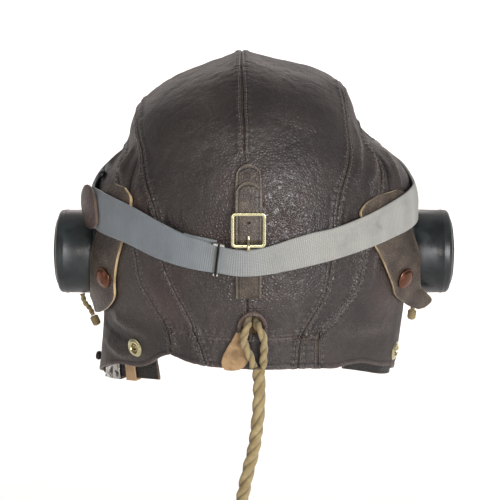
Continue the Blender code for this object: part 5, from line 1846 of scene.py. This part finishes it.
@dataclass
class EarFittings:
    """The flaps behind the cups, their snap caps, the strap tongue, the studs and the knobs.

    Attributes:
        cap_share: places of the left and the right cap across their flaps, 0 at the back edge.
        cap_height: height of both caps.
        stud_places: places of the left and the right stud.
        tongue_knob: place of the button over the tongue.
        cheek_knob: place of the button on the left cheek flap.
    """

    cap_share: tuple[float, float] = (0.36, 0.39)
    cap_height: float = -141.3
    stud_places: tuple[Place, Place] = (Place(-54, -186), Place(71, -197))
    tongue_knob: Place = Place(-80, -80.3)
    cheek_knob: Place = Place(-95, -214)

    def __post_init__(self) -> None:
        """Makes the flaps' forms."""
        self.tabs = {side: Flap(EAR_TAB[side], side) for side in Side}
        self.tongue = Flap(STRAP_TONGUE, Side.LEFT, waviness=0.15)

    def covers(self) -> list[Cover]:
        """What lies on the leather."""
        return [flap.cover() for flap in self.tabs.values()]

    def build(self, palette: Palette) -> None:
        """Builds every fitting round the ears."""
        leather = [palette[Finish.STRAP], palette[Finish.SUEDE], palette[Finish.TAN_EDGE]]
        for side, share in zip(Side, self.cap_share):
            flap = self.tabs[side]
            flap.build(f"cup_tab_{side.word}", f"ear_tab_{side.word}", leather, "brown_leather")
            seat, axis = flap.seat(share, self.cap_height)
            cap = [(0, 0.3), (5.6, 0.3), (6.6, 0.35), (7.0, 0.75), (6.95, 1.2), (6.5, 1.5), (6.1, 1.5),
                   (5.8, 1.62), (5.0, 2.1), (3.6, 2.5), (1.8, 2.74), (0, 2.8)]
            make(f"cap_{side.word}", [lathe(cap, seat, axis, 48, steps=3)], [palette[Finish.BRONZED]],
                 [f"snap_cap_{side.word}"])
        red = [palette[Finish.TONGUE], palette[Finish.SUEDE], palette[Finish.EDGE]]
        self.tongue.build("tongue_left", "strap_tongue_left", red, "red_leather", 90, 28)
        knob = [(0, 0.3), (2.2, 0.3), (2.6, 0.6), (3.1, 1.4), (3.2, 2.1), (3.0, 2.9), (2.4, 3.7),
                (1.2, 4.1), (0, 4.2)]
        for name, node, place in (("tongue_button", "tongue_knob_left", self.tongue_knob),
                                  ("cheek_button", "cheek_knob_left", self.cheek_knob)):
            seat, axis = self.seat(place)
            make(name, [lathe(knob, seat, axis, 32, steps=3)], [palette[Finish.RUBBER]],
                 [node])
        for side, place in zip(Side, self.stud_places):
            self.stud(side, place, palette)

    @staticmethod
    def seat(place: Place) -> tuple[Array, Array]:
        """Point and normal on the leather at a place."""
        angle, depth = radians(place.around), FORM.depth(place.height)
        return FORM.point(angle, depth), FORM.normal(angle, depth)

    def stud(self, side: Side, place: Place, palette: Palette) -> None:
        """A snap's socket: a rolled brass ring, a sunk dark well and the spring across it."""
        seat, axis = self.seat(place)
        ring = [(0, 0.3), (6.0, 0.3), (6.3, 0.5), (6.3, 0.9), (6.0, 1.15), (5.6, 1.2), (5.3, 1.5),
                (4.9, 1.85), (4.3, 1.95), (3.7, 1.85), (3.3, 1.5), (3.1, 1.0), (3.0, 0.6), (0, 0.6)]
        well = [(0, 0.61), (2.9, 0.61), (2.95, 0.8), (2.2, 0.72), (1.2, 0.72), (0.9, 0.9), (0.5, 1.05),
                (0, 1.1)]
        shapes = [lathe(ring, seat, axis, 56), lathe(well, seat, axis, 40, look=1)]
        across = unit(np.cross(axis, (0.0, 0.0, 1.0)))
        other = np.cross(axis, across)
        turn = np.linspace(0.25 * pi, 1.75 * pi, 30)
        spring = seat + axis * 1.1 * MM + 2.0 * MM * (np.cos(turn)[:, None] * across
                                                      + np.sin(turn)[:, None] * other)
        shapes.append(tube(spring, round_section(0.26, 10), axis))
        make(f"stud_{side.word}", shapes, [palette[Finish.BRASS], palette[Finish.DARK_BRASS]],
             [f"cheek_stud_{side.word}"])


class StripRow(NamedTuple):
    """One height of a strap on the back: half its width and its lift, in millimetres."""

    height: float
    half_width: float
    lift: float


@dataclass
class BackStrip:
    """A strap or patch on the back of the helmet.

    Attributes:
        rows: its half width and lift at each height.
        middle: x of its middle line, in millimetres, one or one for each row.
        thickness: of its leather.
        tip: height of the half ellipse that rounds its upper end, or 0.
        crease: depth of the line pressed in along its edges.
        wrinkle: height of the wrinkles across it.
    """

    rows: Sequence[StripRow]
    middle: float | Array = -3.3
    tip: float = 0.0
    thickness: float = 2.0
    crease: float = 0.22
    wrinkle: float = 0.15

    def cover(self) -> Cover:
        """What the strip presses on."""
        table = np.array(self.rows, dtype=float)
        heights = np.linspace(table[0, 0], table[-1, 0], 160)
        half_width, lift = (np.interp(-heights, -table[:, 0], table[:, k]) for k in (1, 2))
        return Cover(FORM.back_place(self.middle, heights, 0.0), half_width + 0.6, lift)

    def build(self, name: str, node: str, looks: Sequence[Material], slot: str, rows: int = 150,
              columns: int = 36, hole: tuple[float, float] | None = None) -> Object:
        """The strip as a slab: a rounded tip, creased edges and cross wrinkles.

        Args:
            name: the piece's name.
            node: the CAD node that it stands for, or "" where it stands for none.
            looks: its materials.
            slot: not used.
            rows: points along it.
            columns: points across it.
            hole: height and radius of a punched hole in its middle.

        Returns:
            The strip's object.
        """
        table = np.array(self.rows, dtype=float)
        share = close_at_ends(rows, 0.6)
        height = table[0, 0] + (table[-1, 0] - table[0, 0]) * share
        half_width, lift = (np.interp(-height, -table[:, 0], table[:, k]) for k in (1, 2))
        middle = np.interp(-height, -table[:, 0], np.broadcast_to(self.middle, len(table)))
        across = 2 * close_at_ends(columns, 0.6) - 1
        x = middle[:, None] + half_width[:, None] * across[None]
        drop = self.tip * (1 - np.sqrt(1 - (0.98 * across) ** 2))
        fade = np.clip(1 - (height[0] - height) / (2 * self.tip + 0.01), 0, 1)
        height, lift = height[:, None] - fade[:, None] * drop, lift[:, None] + 0 * x
        from_edge = half_width[:, None] * (1 - np.abs(across))[None]
        if self.tip:
            from_edge = np.minimum(from_edge, 0.8 * (table[0, 0] - drop - height))
        pressed = self.crease * np.exp(-((from_edge - 1.5) / 0.4) ** 2)
        base = FORM.back_place(x, height, lift)
        stretched = base * np.array([0.35, 1.0, 1.0])
        wrinkle = self.wrinkle * Noise(31).at(stretched, 2.6) + 0.12 * Noise(32).at(base, 6)
        points = FORM.back_place(x, height, lift + self.thickness - pressed + wrinkle).reshape(-1, 3)
        quads = facing(points, grid_faces(rows, columns), np.tile([0.0, -1.0, 0.0], (len(points), 1)))
        normals = point_normals(points, quads)
        if hole is not None:
            centre = FORM.back_place(self.middle, hole[0], 0.0)
            across_hole = np.hypot(points[:, 0] - centre[0], points[:, 2] - centre[2])
            points, quads = open_hole(points, quads, across_hole / (hole[1] * MM), centre,
                                      np.array([0.0, 1.0, 0.0]))
        from_edge = from_edge.ravel()
        # The edges are lighter: wear, and a painted highlight along the rim.
        worn = np.clip(0.3 + 0.35 * Noise(33).at(points, 5) + 1.1 * np.exp(-(from_edge / 0.9) ** 2), 0, 1)
        gloss = np.clip(0.3 + 0.4 * Noise(34).at(points, 9), 0, 1)
        # Painted shade, with some soiling, along the line pressed in near the edges.
        dark = 0.75 * np.exp(-((from_edge - 1.6) / 0.4) ** 2) * (self.crease > 0)
        shapes = [tidy(s) for s in slab(points, quads, normals, self.thickness, 0.35,
                                        marks={"worn": worn, "gloss": gloss, "crease": dark})]
        return make(name, shapes, looks, [node] if node else [])


BUCKLE_PATCH = rows_of(StripRow,
    (-56.3, 7.2, 0.5), (-64, 7.6, 0.5), (-72, 7.8, 0.5), (-85, 8, 0.5), (-98, 8, 0.5))
REAR_STRAP = rows_of(StripRow,
    (-66.2, 7, 2.9), (-74.5, 7.4, 2.9), (-84, 7.4, 2.9), (-92, 7.4, 2.9), (-99.5, 7.4, 2.9),
    (-102, 7.4, 1.8), (-104.5, 7.4, 0.5), (-118, 7.5, 0.5), (-130, 7.5, 0.5), (-137, 7.5, 0.5))


@dataclass
class RearBuckle:
    """The size buckle at the back: patch, strap, square brass frame and prong.

    Attributes:
        middle: x of the strap's middle, in millimetres.
        top: height of the frame's upper bar.
        bottom: height of its lower bar.
        half_width: from the middle to its side bars.
        corner: radius of its corners.
        lift: of the bars off the leather.
        bar: width of a bar.
        prong: heights and lifts along the prong.
        hole: height and radius of the strap's hole.
    """

    middle: float = -3.3
    top: float = -84.2
    bottom: float = -102.5
    half_width: float = 8.9
    corner: float = 1.6
    lift: float = 6.2
    bar: float = 2.1
    prong: tuple[tuple[float, float], ...] = (
        (-96.5, 5.75), (-98.2, 5.9), (-99.8, 6.6), (-101.2, 7.9), (-102.6, 8.4), (-103.8, 8.1),
        (-104.5, 7.4))
    hole: tuple[float, float] = (-88.5, 1.3)

    def __post_init__(self) -> None:
        """Makes the straps' forms."""
        self.patch = BackStrip(BUCKLE_PATCH, self.middle, tip=7.0, wrinkle=0.08)
        self.strap = BackStrip(REAR_STRAP, self.middle, tip=7.2)

    def covers(self) -> list[Cover]:
        """What lies on the leather."""
        return [self.patch.cover(), self.strap.cover()]

    def frame_path(self) -> Array:
        """The middle line of the frame: a rectangle with quarter circles at its corners."""
        half_height, middle = (self.top - self.bottom) / 2, (self.top + self.bottom) / 2
        outline = box_section(2 * self.half_width, 2 * half_height, self.corner, 7) / MM
        places = FORM.back_place(self.middle + outline[:, 0], middle + outline[:, 1], self.lift)
        closed = np.concatenate([places, places[:1]])
        return respaced(closed, np.linspace(0, 1, 161))[:-1]

    def build(self, palette: Palette) -> None:
        """Builds the buckle and its straps."""
        leather = [palette[Finish.STRAP], palette[Finish.SUEDE], palette[Finish.STRAP_EDGE]]
        self.patch.build("size_patch", "buckle_patch", leather, "brown_leather", 90)
        self.strap.build("size_strap", "rear_strap", leather, "brown_leather", 200, hole=self.hole)
        frame_bar = tube(self.frame_path(), box_section(self.bar, 1.7, 0.5), np.array([1.0, 0.0, 0.0]),
                         closed=True)
        make("size_buckle", [frame_bar], [palette[Finish.BRASS]], ["rear_buckle"])
        height, lift = np.array(self.prong, dtype=float).T
        path = along(FORM.back_place(self.middle, height, lift), 40)
        taper = np.linspace(0.72, 1.0, 40)[:, None, None]
        make("size_prong", [tube(path, round_section(1.1, 14) * taper, np.array([1.0, 0.0, 0.0]))],
             [palette[Finish.BRASS]], ["buckle_prong"])


@dataclass
class CordSlit:
    """The slit that the cord leaves by: a stitched welt round it and a tan flap below its corner.

    Attributes:
        middle: x and height of the slit's middle, in millimetres.
        half_size: its half width and half height.
        welt_width: width of the welt.
        seam_share: place of its row of stitches, from its inner to its outer edge.
        foot: height at which the welt's two legs end.
        flap_x: x of the flap's middle at its top and at its end.
        flap: the flap's rows.
        lining: rows of the suede that closes the slit behind the cords, off the leather's inside.
    """

    middle: tuple[float, float] = (-1.0, -156.7)
    half_size: tuple[float, float] = (6.2, 7.2)
    welt_width: float = 3.0
    seam_share: float = 0.68
    foot: float = -160.6
    flap_x: tuple[float, float] = (-8.6, -14.5)
    flap: Sequence[StripRow] = rows_of(StripRow,
        (-161.2, 2.4, 0.5), (-165, 3.2, 0.5), (-171, 5.5, 0.5), (-177, 7.6, 0.6), (-182, 8, 0.8),
        (-185, 6.7, 1), (-187, 4.4, 1), (-187.6, 1.5, 1))
    lining: Sequence[StripRow] = rows_of(StripRow,
        (-141, 8, -4.6), (-146, 8.5, -7.5), (-150, 8.5, -10.4), (-163, 8.5, -10.4), (-168, 8.5, -7.5),
        (-173, 8, -4.6))

    def arch(self, reach: float) -> Array:
        """An arch over the slit and down to its feet, a reach in millimetres outside it."""
        turn = np.linspace(pi, 0, 160)
        x = self.middle[0] + (self.half_size[0] + reach) * np.cos(turn)
        z = self.middle[1] + (self.half_size[1] + reach) * np.sin(turn)
        return np.stack([np.r_[x[0], x, x[-1]], np.r_[self.foot, z, self.foot]], axis=-1)

    def covers(self) -> list[Cover]:
        """What lies on the leather."""
        arch = self.arch(self.welt_width / 2 + 0.3)
        table = np.array(self.flap, dtype=float)
        middle = np.linspace(*self.flap_x, len(table))
        return [Cover(FORM.back_place(arch[:, 0], arch[:, 1], 0.0), np.full(len(arch), 2.2),
                      np.full(len(arch), 0.5)),
                Cover(FORM.back_place(middle, table[:, 0], 0.0), table[:, 1] + 0.5, table[:, 2])]

    def build(self, palette: Palette) -> None:
        """Builds the welt, its stitches, the flap and the lining."""
        share, inner, outer = np.linspace(0, 1, 150), self.arch(0.3), self.arch(self.welt_width)
        across = close_at_ends(16, 0.6)[None, :, None]
        plan = (respaced(inner, share)[:, None] * (1 - across) + respaced(outer, share)[:, None] * across)
        place = across[..., 0]
        dome = 2.5 - 0.55 * (2 * place - 1) ** 2
        valley = 0.3 * np.exp(-((place - self.seam_share) / 0.09) ** 2)
        base = FORM.back_place(plan[..., 0], plan[..., 1], 0.0)
        lift = dome - valley + 0.14 * Noise(41).at(base, 2.2)
        points = FORM.back_place(plan[..., 0], plan[..., 1], lift)
        quads = facing(points.reshape(-1, 3), grid_faces(*points.shape[:2]),
                       np.tile([0.0, -1.0, 0.0], (points[..., 0].size, 1)))
        normals = point_normals(points.reshape(-1, 3), quads)
        worn = np.clip(0.45 + 0.4 * Noise(42).at(points, 4), 0, 1).ravel()
        shapes = slab(points.reshape(-1, 3), quads, normals, 1.9, 0.3,
                      marks={"worn": worn, "gloss": 0.4 + 0 * worn})
        column = int(self.seam_share * points.shape[1])
        ups = normals.reshape(points.shape)[:, column]
        seam = Stitches(0.22, 2.0, 1.4).row(points[:, column] + ups * 0.1 * MM, ups)
        seam.look = 3
        looks = [palette[Finish.WELT], palette[Finish.SUEDE], palette[Finish.EDGE], palette[Finish.THREAD]]
        make("slit_binding", [*shapes, seam], looks, ["slit_welt"])
        looks = [palette[Finish.TAN_SUEDE]] * 2 + [palette[Finish.TAN_EDGE]]
        BackStrip(self.flap, np.linspace(*self.flap_x, len(self.flap)), crease=0.0).build(
            "suede_flap", "slit_flap", looks, "tan_leather", 110)
        BackStrip(self.lining, self.middle[0], crease=0.0).build(
            "slit_lining", "", looks, "tan_leather", 60, 24)


class ElasticRow(NamedTuple):
    """One place on the elastic: angle, height of its middle, width and lift off the leather."""

    around: float
    height: float
    width: float
    lift: float


@dataclass
class GoggleElastic:
    """The ribbed elastic round the helmet, its folded end and the metal slider that holds them.

    Attributes:
        thickness: of the webbing, in millimetres.
        rib: spacing of the ribs across it; real ones are about 0.9 mm, drawn coarser to show.
        rib_height: height of a rib.
        fold: angles that the folded end runs between.
        fold_rise: how far the fold lies above the strap's middle.
        slider_around: angle of the slider.
        slider: half height, half depth and half thickness of the slider.
        rear: the strap's course over the back and the sides.
        front: its course from the right side to the middle of the brow; the left is the same.
    """

    thickness: float = 1.6
    rib: float = 1.4
    rib_height: float = 0.1
    fold: tuple[float, float] = (-28.0, -13.8)
    fold_rise: float = 2.2
    slider_around: float = -12.0
    slider: tuple[float, float, float] = (9.5, 1.9, 0.9)
    rear: Sequence[ElasticRow] = rows_of(ElasticRow,
        (-91, -94, 22.5, 0.9), (-84, -94.7, 23, 1.7), (-76, -98, 24, 3.6), (-66, -98, 25, 4.3),
        (-52, -99.5, 24.5, 3.9), (-38, -105, 23.5, 2.5), (-27, -108.5, 20.5, 2.3),
        (-18, -110.5, 18.5, 2.6), (-11, -112, 16.5, 3.2), (-4, -113.2, 16.3, 4), (1, -113.2, 16.3, 4),
        (7, -112.5, 16.8, 3), (13, -111, 18, 1.6), (24, -108, 20, 1), (35, -106.5, 19.8, 1.2),
        (42, -104.5, 20, 3.3), (49, -102.5, 20.5, 4), (58, -99.5, 22, 4), (67, -97.5, 23, 3.8),
        (76, -96.5, 23, 3), (84, -95, 22.5, 1.2), (91, -94.5, 22, 0.9))
    front: Sequence[ElasticRow] = rows_of(ElasticRow,
        (98, -92.5, 22, 0.9), (105, -90, 22, 0.9), (115, -85.5, 22, 0.9), (125, -79, 22, 0.9),
        (134, -71, 22, 0.9), (142, -64, 22, 0.9), (150, -59, 22, 0.9), (166, -53.9, 22, 0.9),
        (174, -51.4, 22, 1), (180, -51, 22, 1))

    def band(self, around: Array, share: Array, rise: Array | float = 0.0) -> tuple[Array, Array, Array]:
        """The strap's places on the leather, their lift and the width.

        Args:
            around: angles in degrees.
            share: places across the strap, -0.5 to 0.5.
            rise: how far each angle's points are moved up, in millimetres.

        Returns:
            Points, with the angles as rows, the lift at each angle and the width there.
        """
        front = np.array(self.front, dtype=float)
        mirrored = (front * np.array([-1.0, 1.0, 1.0, 1.0]))[::-1]
        table = np.concatenate([mirrored, np.array(self.rear, dtype=float), front])
        height, width, lift = (hermite(table[:, 0], table[:, k], around) for k in (1, 2, 3))
        depth = FORM.depth(height)
        middle = FORM.point(np.radians(around), depth)
        up = unit(np.cross(FORM.normal(np.radians(around), depth), np.gradient(middle, axis=0)))
        offset = share[None, :, None] * width[:, None, None] + np.reshape(rise, (-1, 1, 1))
        return middle[:, None] + up[:, None] * offset * MM, lift[:, None], width[:, None]

    def cover(self) -> Cover:
        """What the elastic presses on."""
        around = np.linspace(-180, 180, 400)
        points, lift, width = self.band(around, np.array([0.0]))
        return Cover(points[:, 0], width[:, 0] / 2 + 0.5, lift[:, 0])

    def webbing(self, around: Array, columns: int, thickness: float, loop: bool = False,
                rise: Array | float = 0.0, lowered: float | None = None) -> list[Shape]:
        """A stretch of the elastic as a slab, ribbed, with corded edges and slight waves.

        The outer face is the lift plus a cosine for the ribs, two low cords along the edges and
        noise drawn out along the strap.
        """
        share = close_at_ends(columns, 0.5) - 0.5
        base, lift, width = self.band(around, share, rise)
        if lowered is not None:
            lift = lift * 0 + lowered
        steps = np.linalg.norm(np.diff(base[:, columns // 2], axis=0), axis=1) / MM
        way = np.concatenate([[0], np.cumsum(steps)])[:, None]
        across = share[None] * width
        ribs = self.rib_height * np.cos(2 * pi * way / self.rib)
        edge = 0.12 * np.exp(-((np.abs(across) - width / 2 + 1.1) / 0.6) ** 2)
        waves = 0.3 * Noise(51).at(base * np.array([1.0, 1.0, 2.2]), 15)
        rough = FORM.settle(base, lift + thickness + ribs + edge + waves - 0.15)
        points = rough.reshape(-1, 3)
        quads = grid_faces(len(around), columns, loop_rows=loop)
        out = unit(points * np.array([1.0, 1.0, 0.0]))
        quads = facing(points, quads, out)
        smooth = FORM.settle(base, lift + thickness).reshape(-1, 3)
        normals = point_normals(smooth, quads)
        uv = np.stack(np.broadcast_arrays(way, across), axis=-1).reshape(-1, 2)
        return slab(points, quads, normals, thickness - 0.05, 0.35, uv=uv)

    def build(self, palette: Palette) -> None:
        """Builds the elastic, its folded end and the slider."""
        elastic = [palette[Finish.ELASTIC]]
        behind, front = np.linspace(-104, 104, 1080), np.linspace(104, 256, 420)[1:-1]
        around = np.concatenate([behind, front])
        around = np.where(around > 180, around - 360, around)
        order = np.argsort(around)
        make("elastic_strap", self.webbing(around[order], 17, self.thickness, loop=True), elastic,
             ["goggle_elastic"])
        end = self.webbing(np.linspace(*self.fold, 90), 17, 1.2, rise=np.linspace(0, self.fold_rise, 90),
                           lowered=0.5)
        make("elastic_end", end, elastic, ["elastic_fold"])
        half_height, half_depth, wire = self.slider
        near, lift, _ = self.band(self.slider_around + np.array([-1.0, 0.0, 1.0]), np.array([0.0]))
        centre = FORM.settle(near, lift + self.thickness / 2)[:, 0]
        normal = FORM.normal(radians(self.slider_around), FORM.depth(-112.0))
        up = unit(np.cross(normal, centre[2] - centre[0]))
        outline = box_section(2 * half_height, 2 * half_depth, 0.9, 7)
        path = centre[1] + outline[:, :1] * up + outline[:, 1:] * normal
        path = respaced(np.concatenate([path, path[:1]]), np.linspace(0, 1, 141))[:-1]
        way = np.cross(normal, up)
        shapes = [tube(path, box_section(1.3 * wire, 2 * wire, 0.4), way, closed=True, look=1)]
        for sign, half_length in ((1, 3.4), (-1, 1.6)):
            spine = centre[1] + sign * up * half_height * MM
            spine = spine + way * np.linspace(-half_length, half_length, 24)[:, None] * MM
            shapes.append(tube(spine, box_section(2.2 * wire, 3.2 * wire, 0.7), up))
        make("strap_loop", shapes, [palette[Finish.NICKEL], palette[Finish.DARK_NICKEL]],
             ["strap_slider"])


class ChinRow(NamedTuple):
    """One place on the chin strap inside the leather: angle, height and lift of its outer face."""

    around: float
    height: float
    lift: float


@dataclass
class ChinStrap:
    """The black chin strap, a whole loop, with its sliding buckle and its tan keeper.

    Attributes:
        width: of the strap, in millimetres.
        thickness: of the strap.
        right: its course inside the right cheek flap.
        left: its course inside the left cheek flap.
        free: its course under the chin, in x, y, z.
        wall: thickness of the buckle and of the keeper.
        clear: space between them and the strap.
        buckle: middle and half turn of the buckle, in degrees.
        keeper: the same of the keeper.
    """

    width: float = 18.0
    thickness: float = 2.0
    right: Sequence[ChinRow] = rows_of(ChinRow,
        (46, -189, -2.5), (55, -195, -2.5), (65, -202, -2.5), (77, -208, -2.5), (90, -213, -2.5),
        (100, -215, -2.6), (107, -215.5, -2.8), (113, -216, -3.2), (118, -217, -4.2))
    left: Sequence[ChinRow] = rows_of(ChinRow,
        (-47, -197.5, -4.3), (-55, -200, -4.3), (-65, -203.5, -4.3), (-78, -208, -4.3),
        (-90, -212.5, -3.2), (-100, -215, -2.6), (-107, -216, -2.8), (-113, -216.5, -3.2),
        (-118, -217, -4.2))
    free: Sequence[tuple[float, float, float]] = (
        (66, 57, -219), (48, 71, -221.5), (26, 81, -223.5), (0, 85, -224), (-30, 81, -223.5),
        (-56, 69, -221.5), (-76, 54, -219))
    wall: float = 1.1
    clear: float = 0.45
    buckle: tuple[float, float] = (-70.5, 6.5)
    keeper: tuple[float, float] = (-58.4, 2.2)

    @staticmethod
    def edges(table: Array, share: Array, half_width: float, drops: Sequence[float]) -> list[Array]:
        """Points across the strap along rows on the leather, a grid for each drop in millimetres."""
        around, depth = np.radians(table[:, 0]), FORM.depth(table[:, 1])
        middle = FORM.point(around, depth)
        up = unit(np.cross(FORM.normal(around, depth), np.gradient(middle, axis=0)))
        up = up * np.sign(up[:, 2:])
        spread = middle[:, None] + up[:, None] * share[None, :, None] * half_width * MM
        return [FORM.settle(spread, table[:, 2:] - drop + 0 * share) for drop in drops]

    def covers(self) -> list[Cover]:
        """The stretches that press on the leather from inside."""
        found = []
        for rows in (self.right, self.left):
            table = np.array(rows, dtype=float)
            line = FORM.point(np.radians(table[:, 0]), FORM.depth(table[:, 1]))
            lift = np.interp(np.linspace(0, 1, 200), np.linspace(0, 1, len(table)), table[:, 2])
            found.append(Cover(along(line, 200), np.full(200, self.width / 2 + 1.5), lift, True))
        return found

    def loop(self, share: Array) -> tuple[Array, Array]:
        """The strap's outer and inner face at shares across it, 1 at its upper edge to -1."""
        drops = (0, self.thickness)
        right = self.edges(np.array(self.right, dtype=float), share, self.width / 2, drops)
        left = self.edges(np.array(self.left, dtype=float), share, self.width / 2, drops)
        free = np.array(self.free, dtype=float) * MM
        way = np.gradient(free, axis=0)
        out = unit(np.stack([way[:, 1], -way[:, 0], 0 * way[:, 0]], axis=-1))
        out = out * np.sign((out * free).sum(axis=1))[:, None]
        spread = free[:, None] + np.array([0, 0, 1]) * share[None, :, None] * self.width / 2 * MM
        outer = np.concatenate([right[0], spread, left[0][::-1]])
        inner = np.concatenate([right[1], spread - out[:, None] * self.thickness * MM, left[1][::-1]])
        return outer, inner

    def build(self, palette: Palette) -> None:
        """Builds the strap with a line pressed in along its edges, the buckle and the keeper."""
        share = -2 * close_at_ends(21, 0.6) + 1
        outer, inner = self.loop(share)
        stations = 420
        outer, inner = (np.stack([along(face[:, k], stations) for k in range(len(share))], axis=1)
                        for face in (outer, inner))
        out = unit(outer - inner)
        from_edge = (1 - np.abs(share)) * self.width / 2
        press = 0.25 * np.exp(-((from_edge - 2) / 0.45) ** 2)
        dent = press[None] + 0.16 * np.abs(Noise(61).at(outer, 9))
        points = (outer - out * dent[..., None] * MM).reshape(-1, 3)
        normals = out.reshape(-1, 3)
        worn = np.clip(0.3 + 0.5 * Noise(62).at(points, 7) + 0 * points[:, 0], 0, 1)
        gloss = np.clip(0.5 + 0.4 * Noise(63).at(points, 12), 0, 1)
        shapes = slab(points, grid_faces(stations, len(share)), normals, self.thickness - 0.1, 0.35,
                      marks={"worn": worn, "gloss": gloss})
        make("chin_band", shapes, [palette[Finish.BLACK], palette[Finish.SUEDE], palette[Finish.EDGE]],
             ["chin_strap"])
        self.sleeve("chin_slide", "chin_buckle", self.buckle, 0.32, [palette[Finish.SCRATCHED]])
        self.sleeve("chin_keeper", "strap_keeper", self.keeper, 0.08, [palette[Finish.TAN_SUEDE]])

    def sleeve(self, name: str, node: str, place: tuple[float, float], crumple: float,
               looks: Sequence[Material]) -> Object:
        """A flat sleeve round the strap's left stretch, dented by noise.

        Args:
            name: the piece's name.
            node: the CAD node that it stands for.
            place: middle and half turn in degrees.
            crumple: depth of its dents in millimetres.
            looks: its materials.

        Returns:
            The sleeve's object.
        """
        table = np.array(self.left[::-1], dtype=float)
        stations = np.linspace(place[0] - place[1], place[0] + place[1], 40)
        rows = np.stack([stations] + [hermite(table[:, 0], table[:, k], stations) for k in (1, 2)], -1)
        more = self.clear + self.wall
        share = np.linspace(1, -1, 60)
        front, back = self.edges(rows, share, self.width / 2 + more, (-more, self.thickness + more))
        ring = np.concatenate([front.swapaxes(0, 1), back.swapaxes(0, 1)[::-1]])
        quads = grid_faces(len(ring), len(stations), loop_rows=True)
        points = ring.reshape(-1, 3)
        centre = (front.mean(axis=1) + back.mean(axis=1)) / 2
        quads = facing(points, quads, unit(ring - centre[None]).reshape(-1, 3))
        normals = point_normals(points, quads)
        dents = np.clip(Noise(64).at(points, 4.5), -1, 0.1)
        return make(name, slab(points + normals * (crumple * dents)[:, None] * MM, quads, normals,
                               self.wall, 0.3), looks, [node], sharp_angle=60)


def main() -> None:
    logging.basicConfig(level=logging.INFO, format="%(name)s: %(message)s")
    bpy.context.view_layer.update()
    palette = Palette()
    Studio().build()
    HeadsetCord().build(palette)
    EarLeads().build(palette)
    EarCups().build(palette)
    fittings, buckle, slit = EarFittings(), RearBuckle(), CordSlit()
    elastic, chin_strap, shell = GoggleElastic(), ChinStrap(), LeatherShell()
    shell.covers = [*fittings.covers(), *buckle.covers(), *slit.covers(), elastic.cover(),
                    *chin_strap.covers()]
    shell.build(palette)
    for part in (fittings, buckle, slit, elastic, chin_strap):
        part.build(palette)
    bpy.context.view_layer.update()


if __name__ == "__main__":
    main()
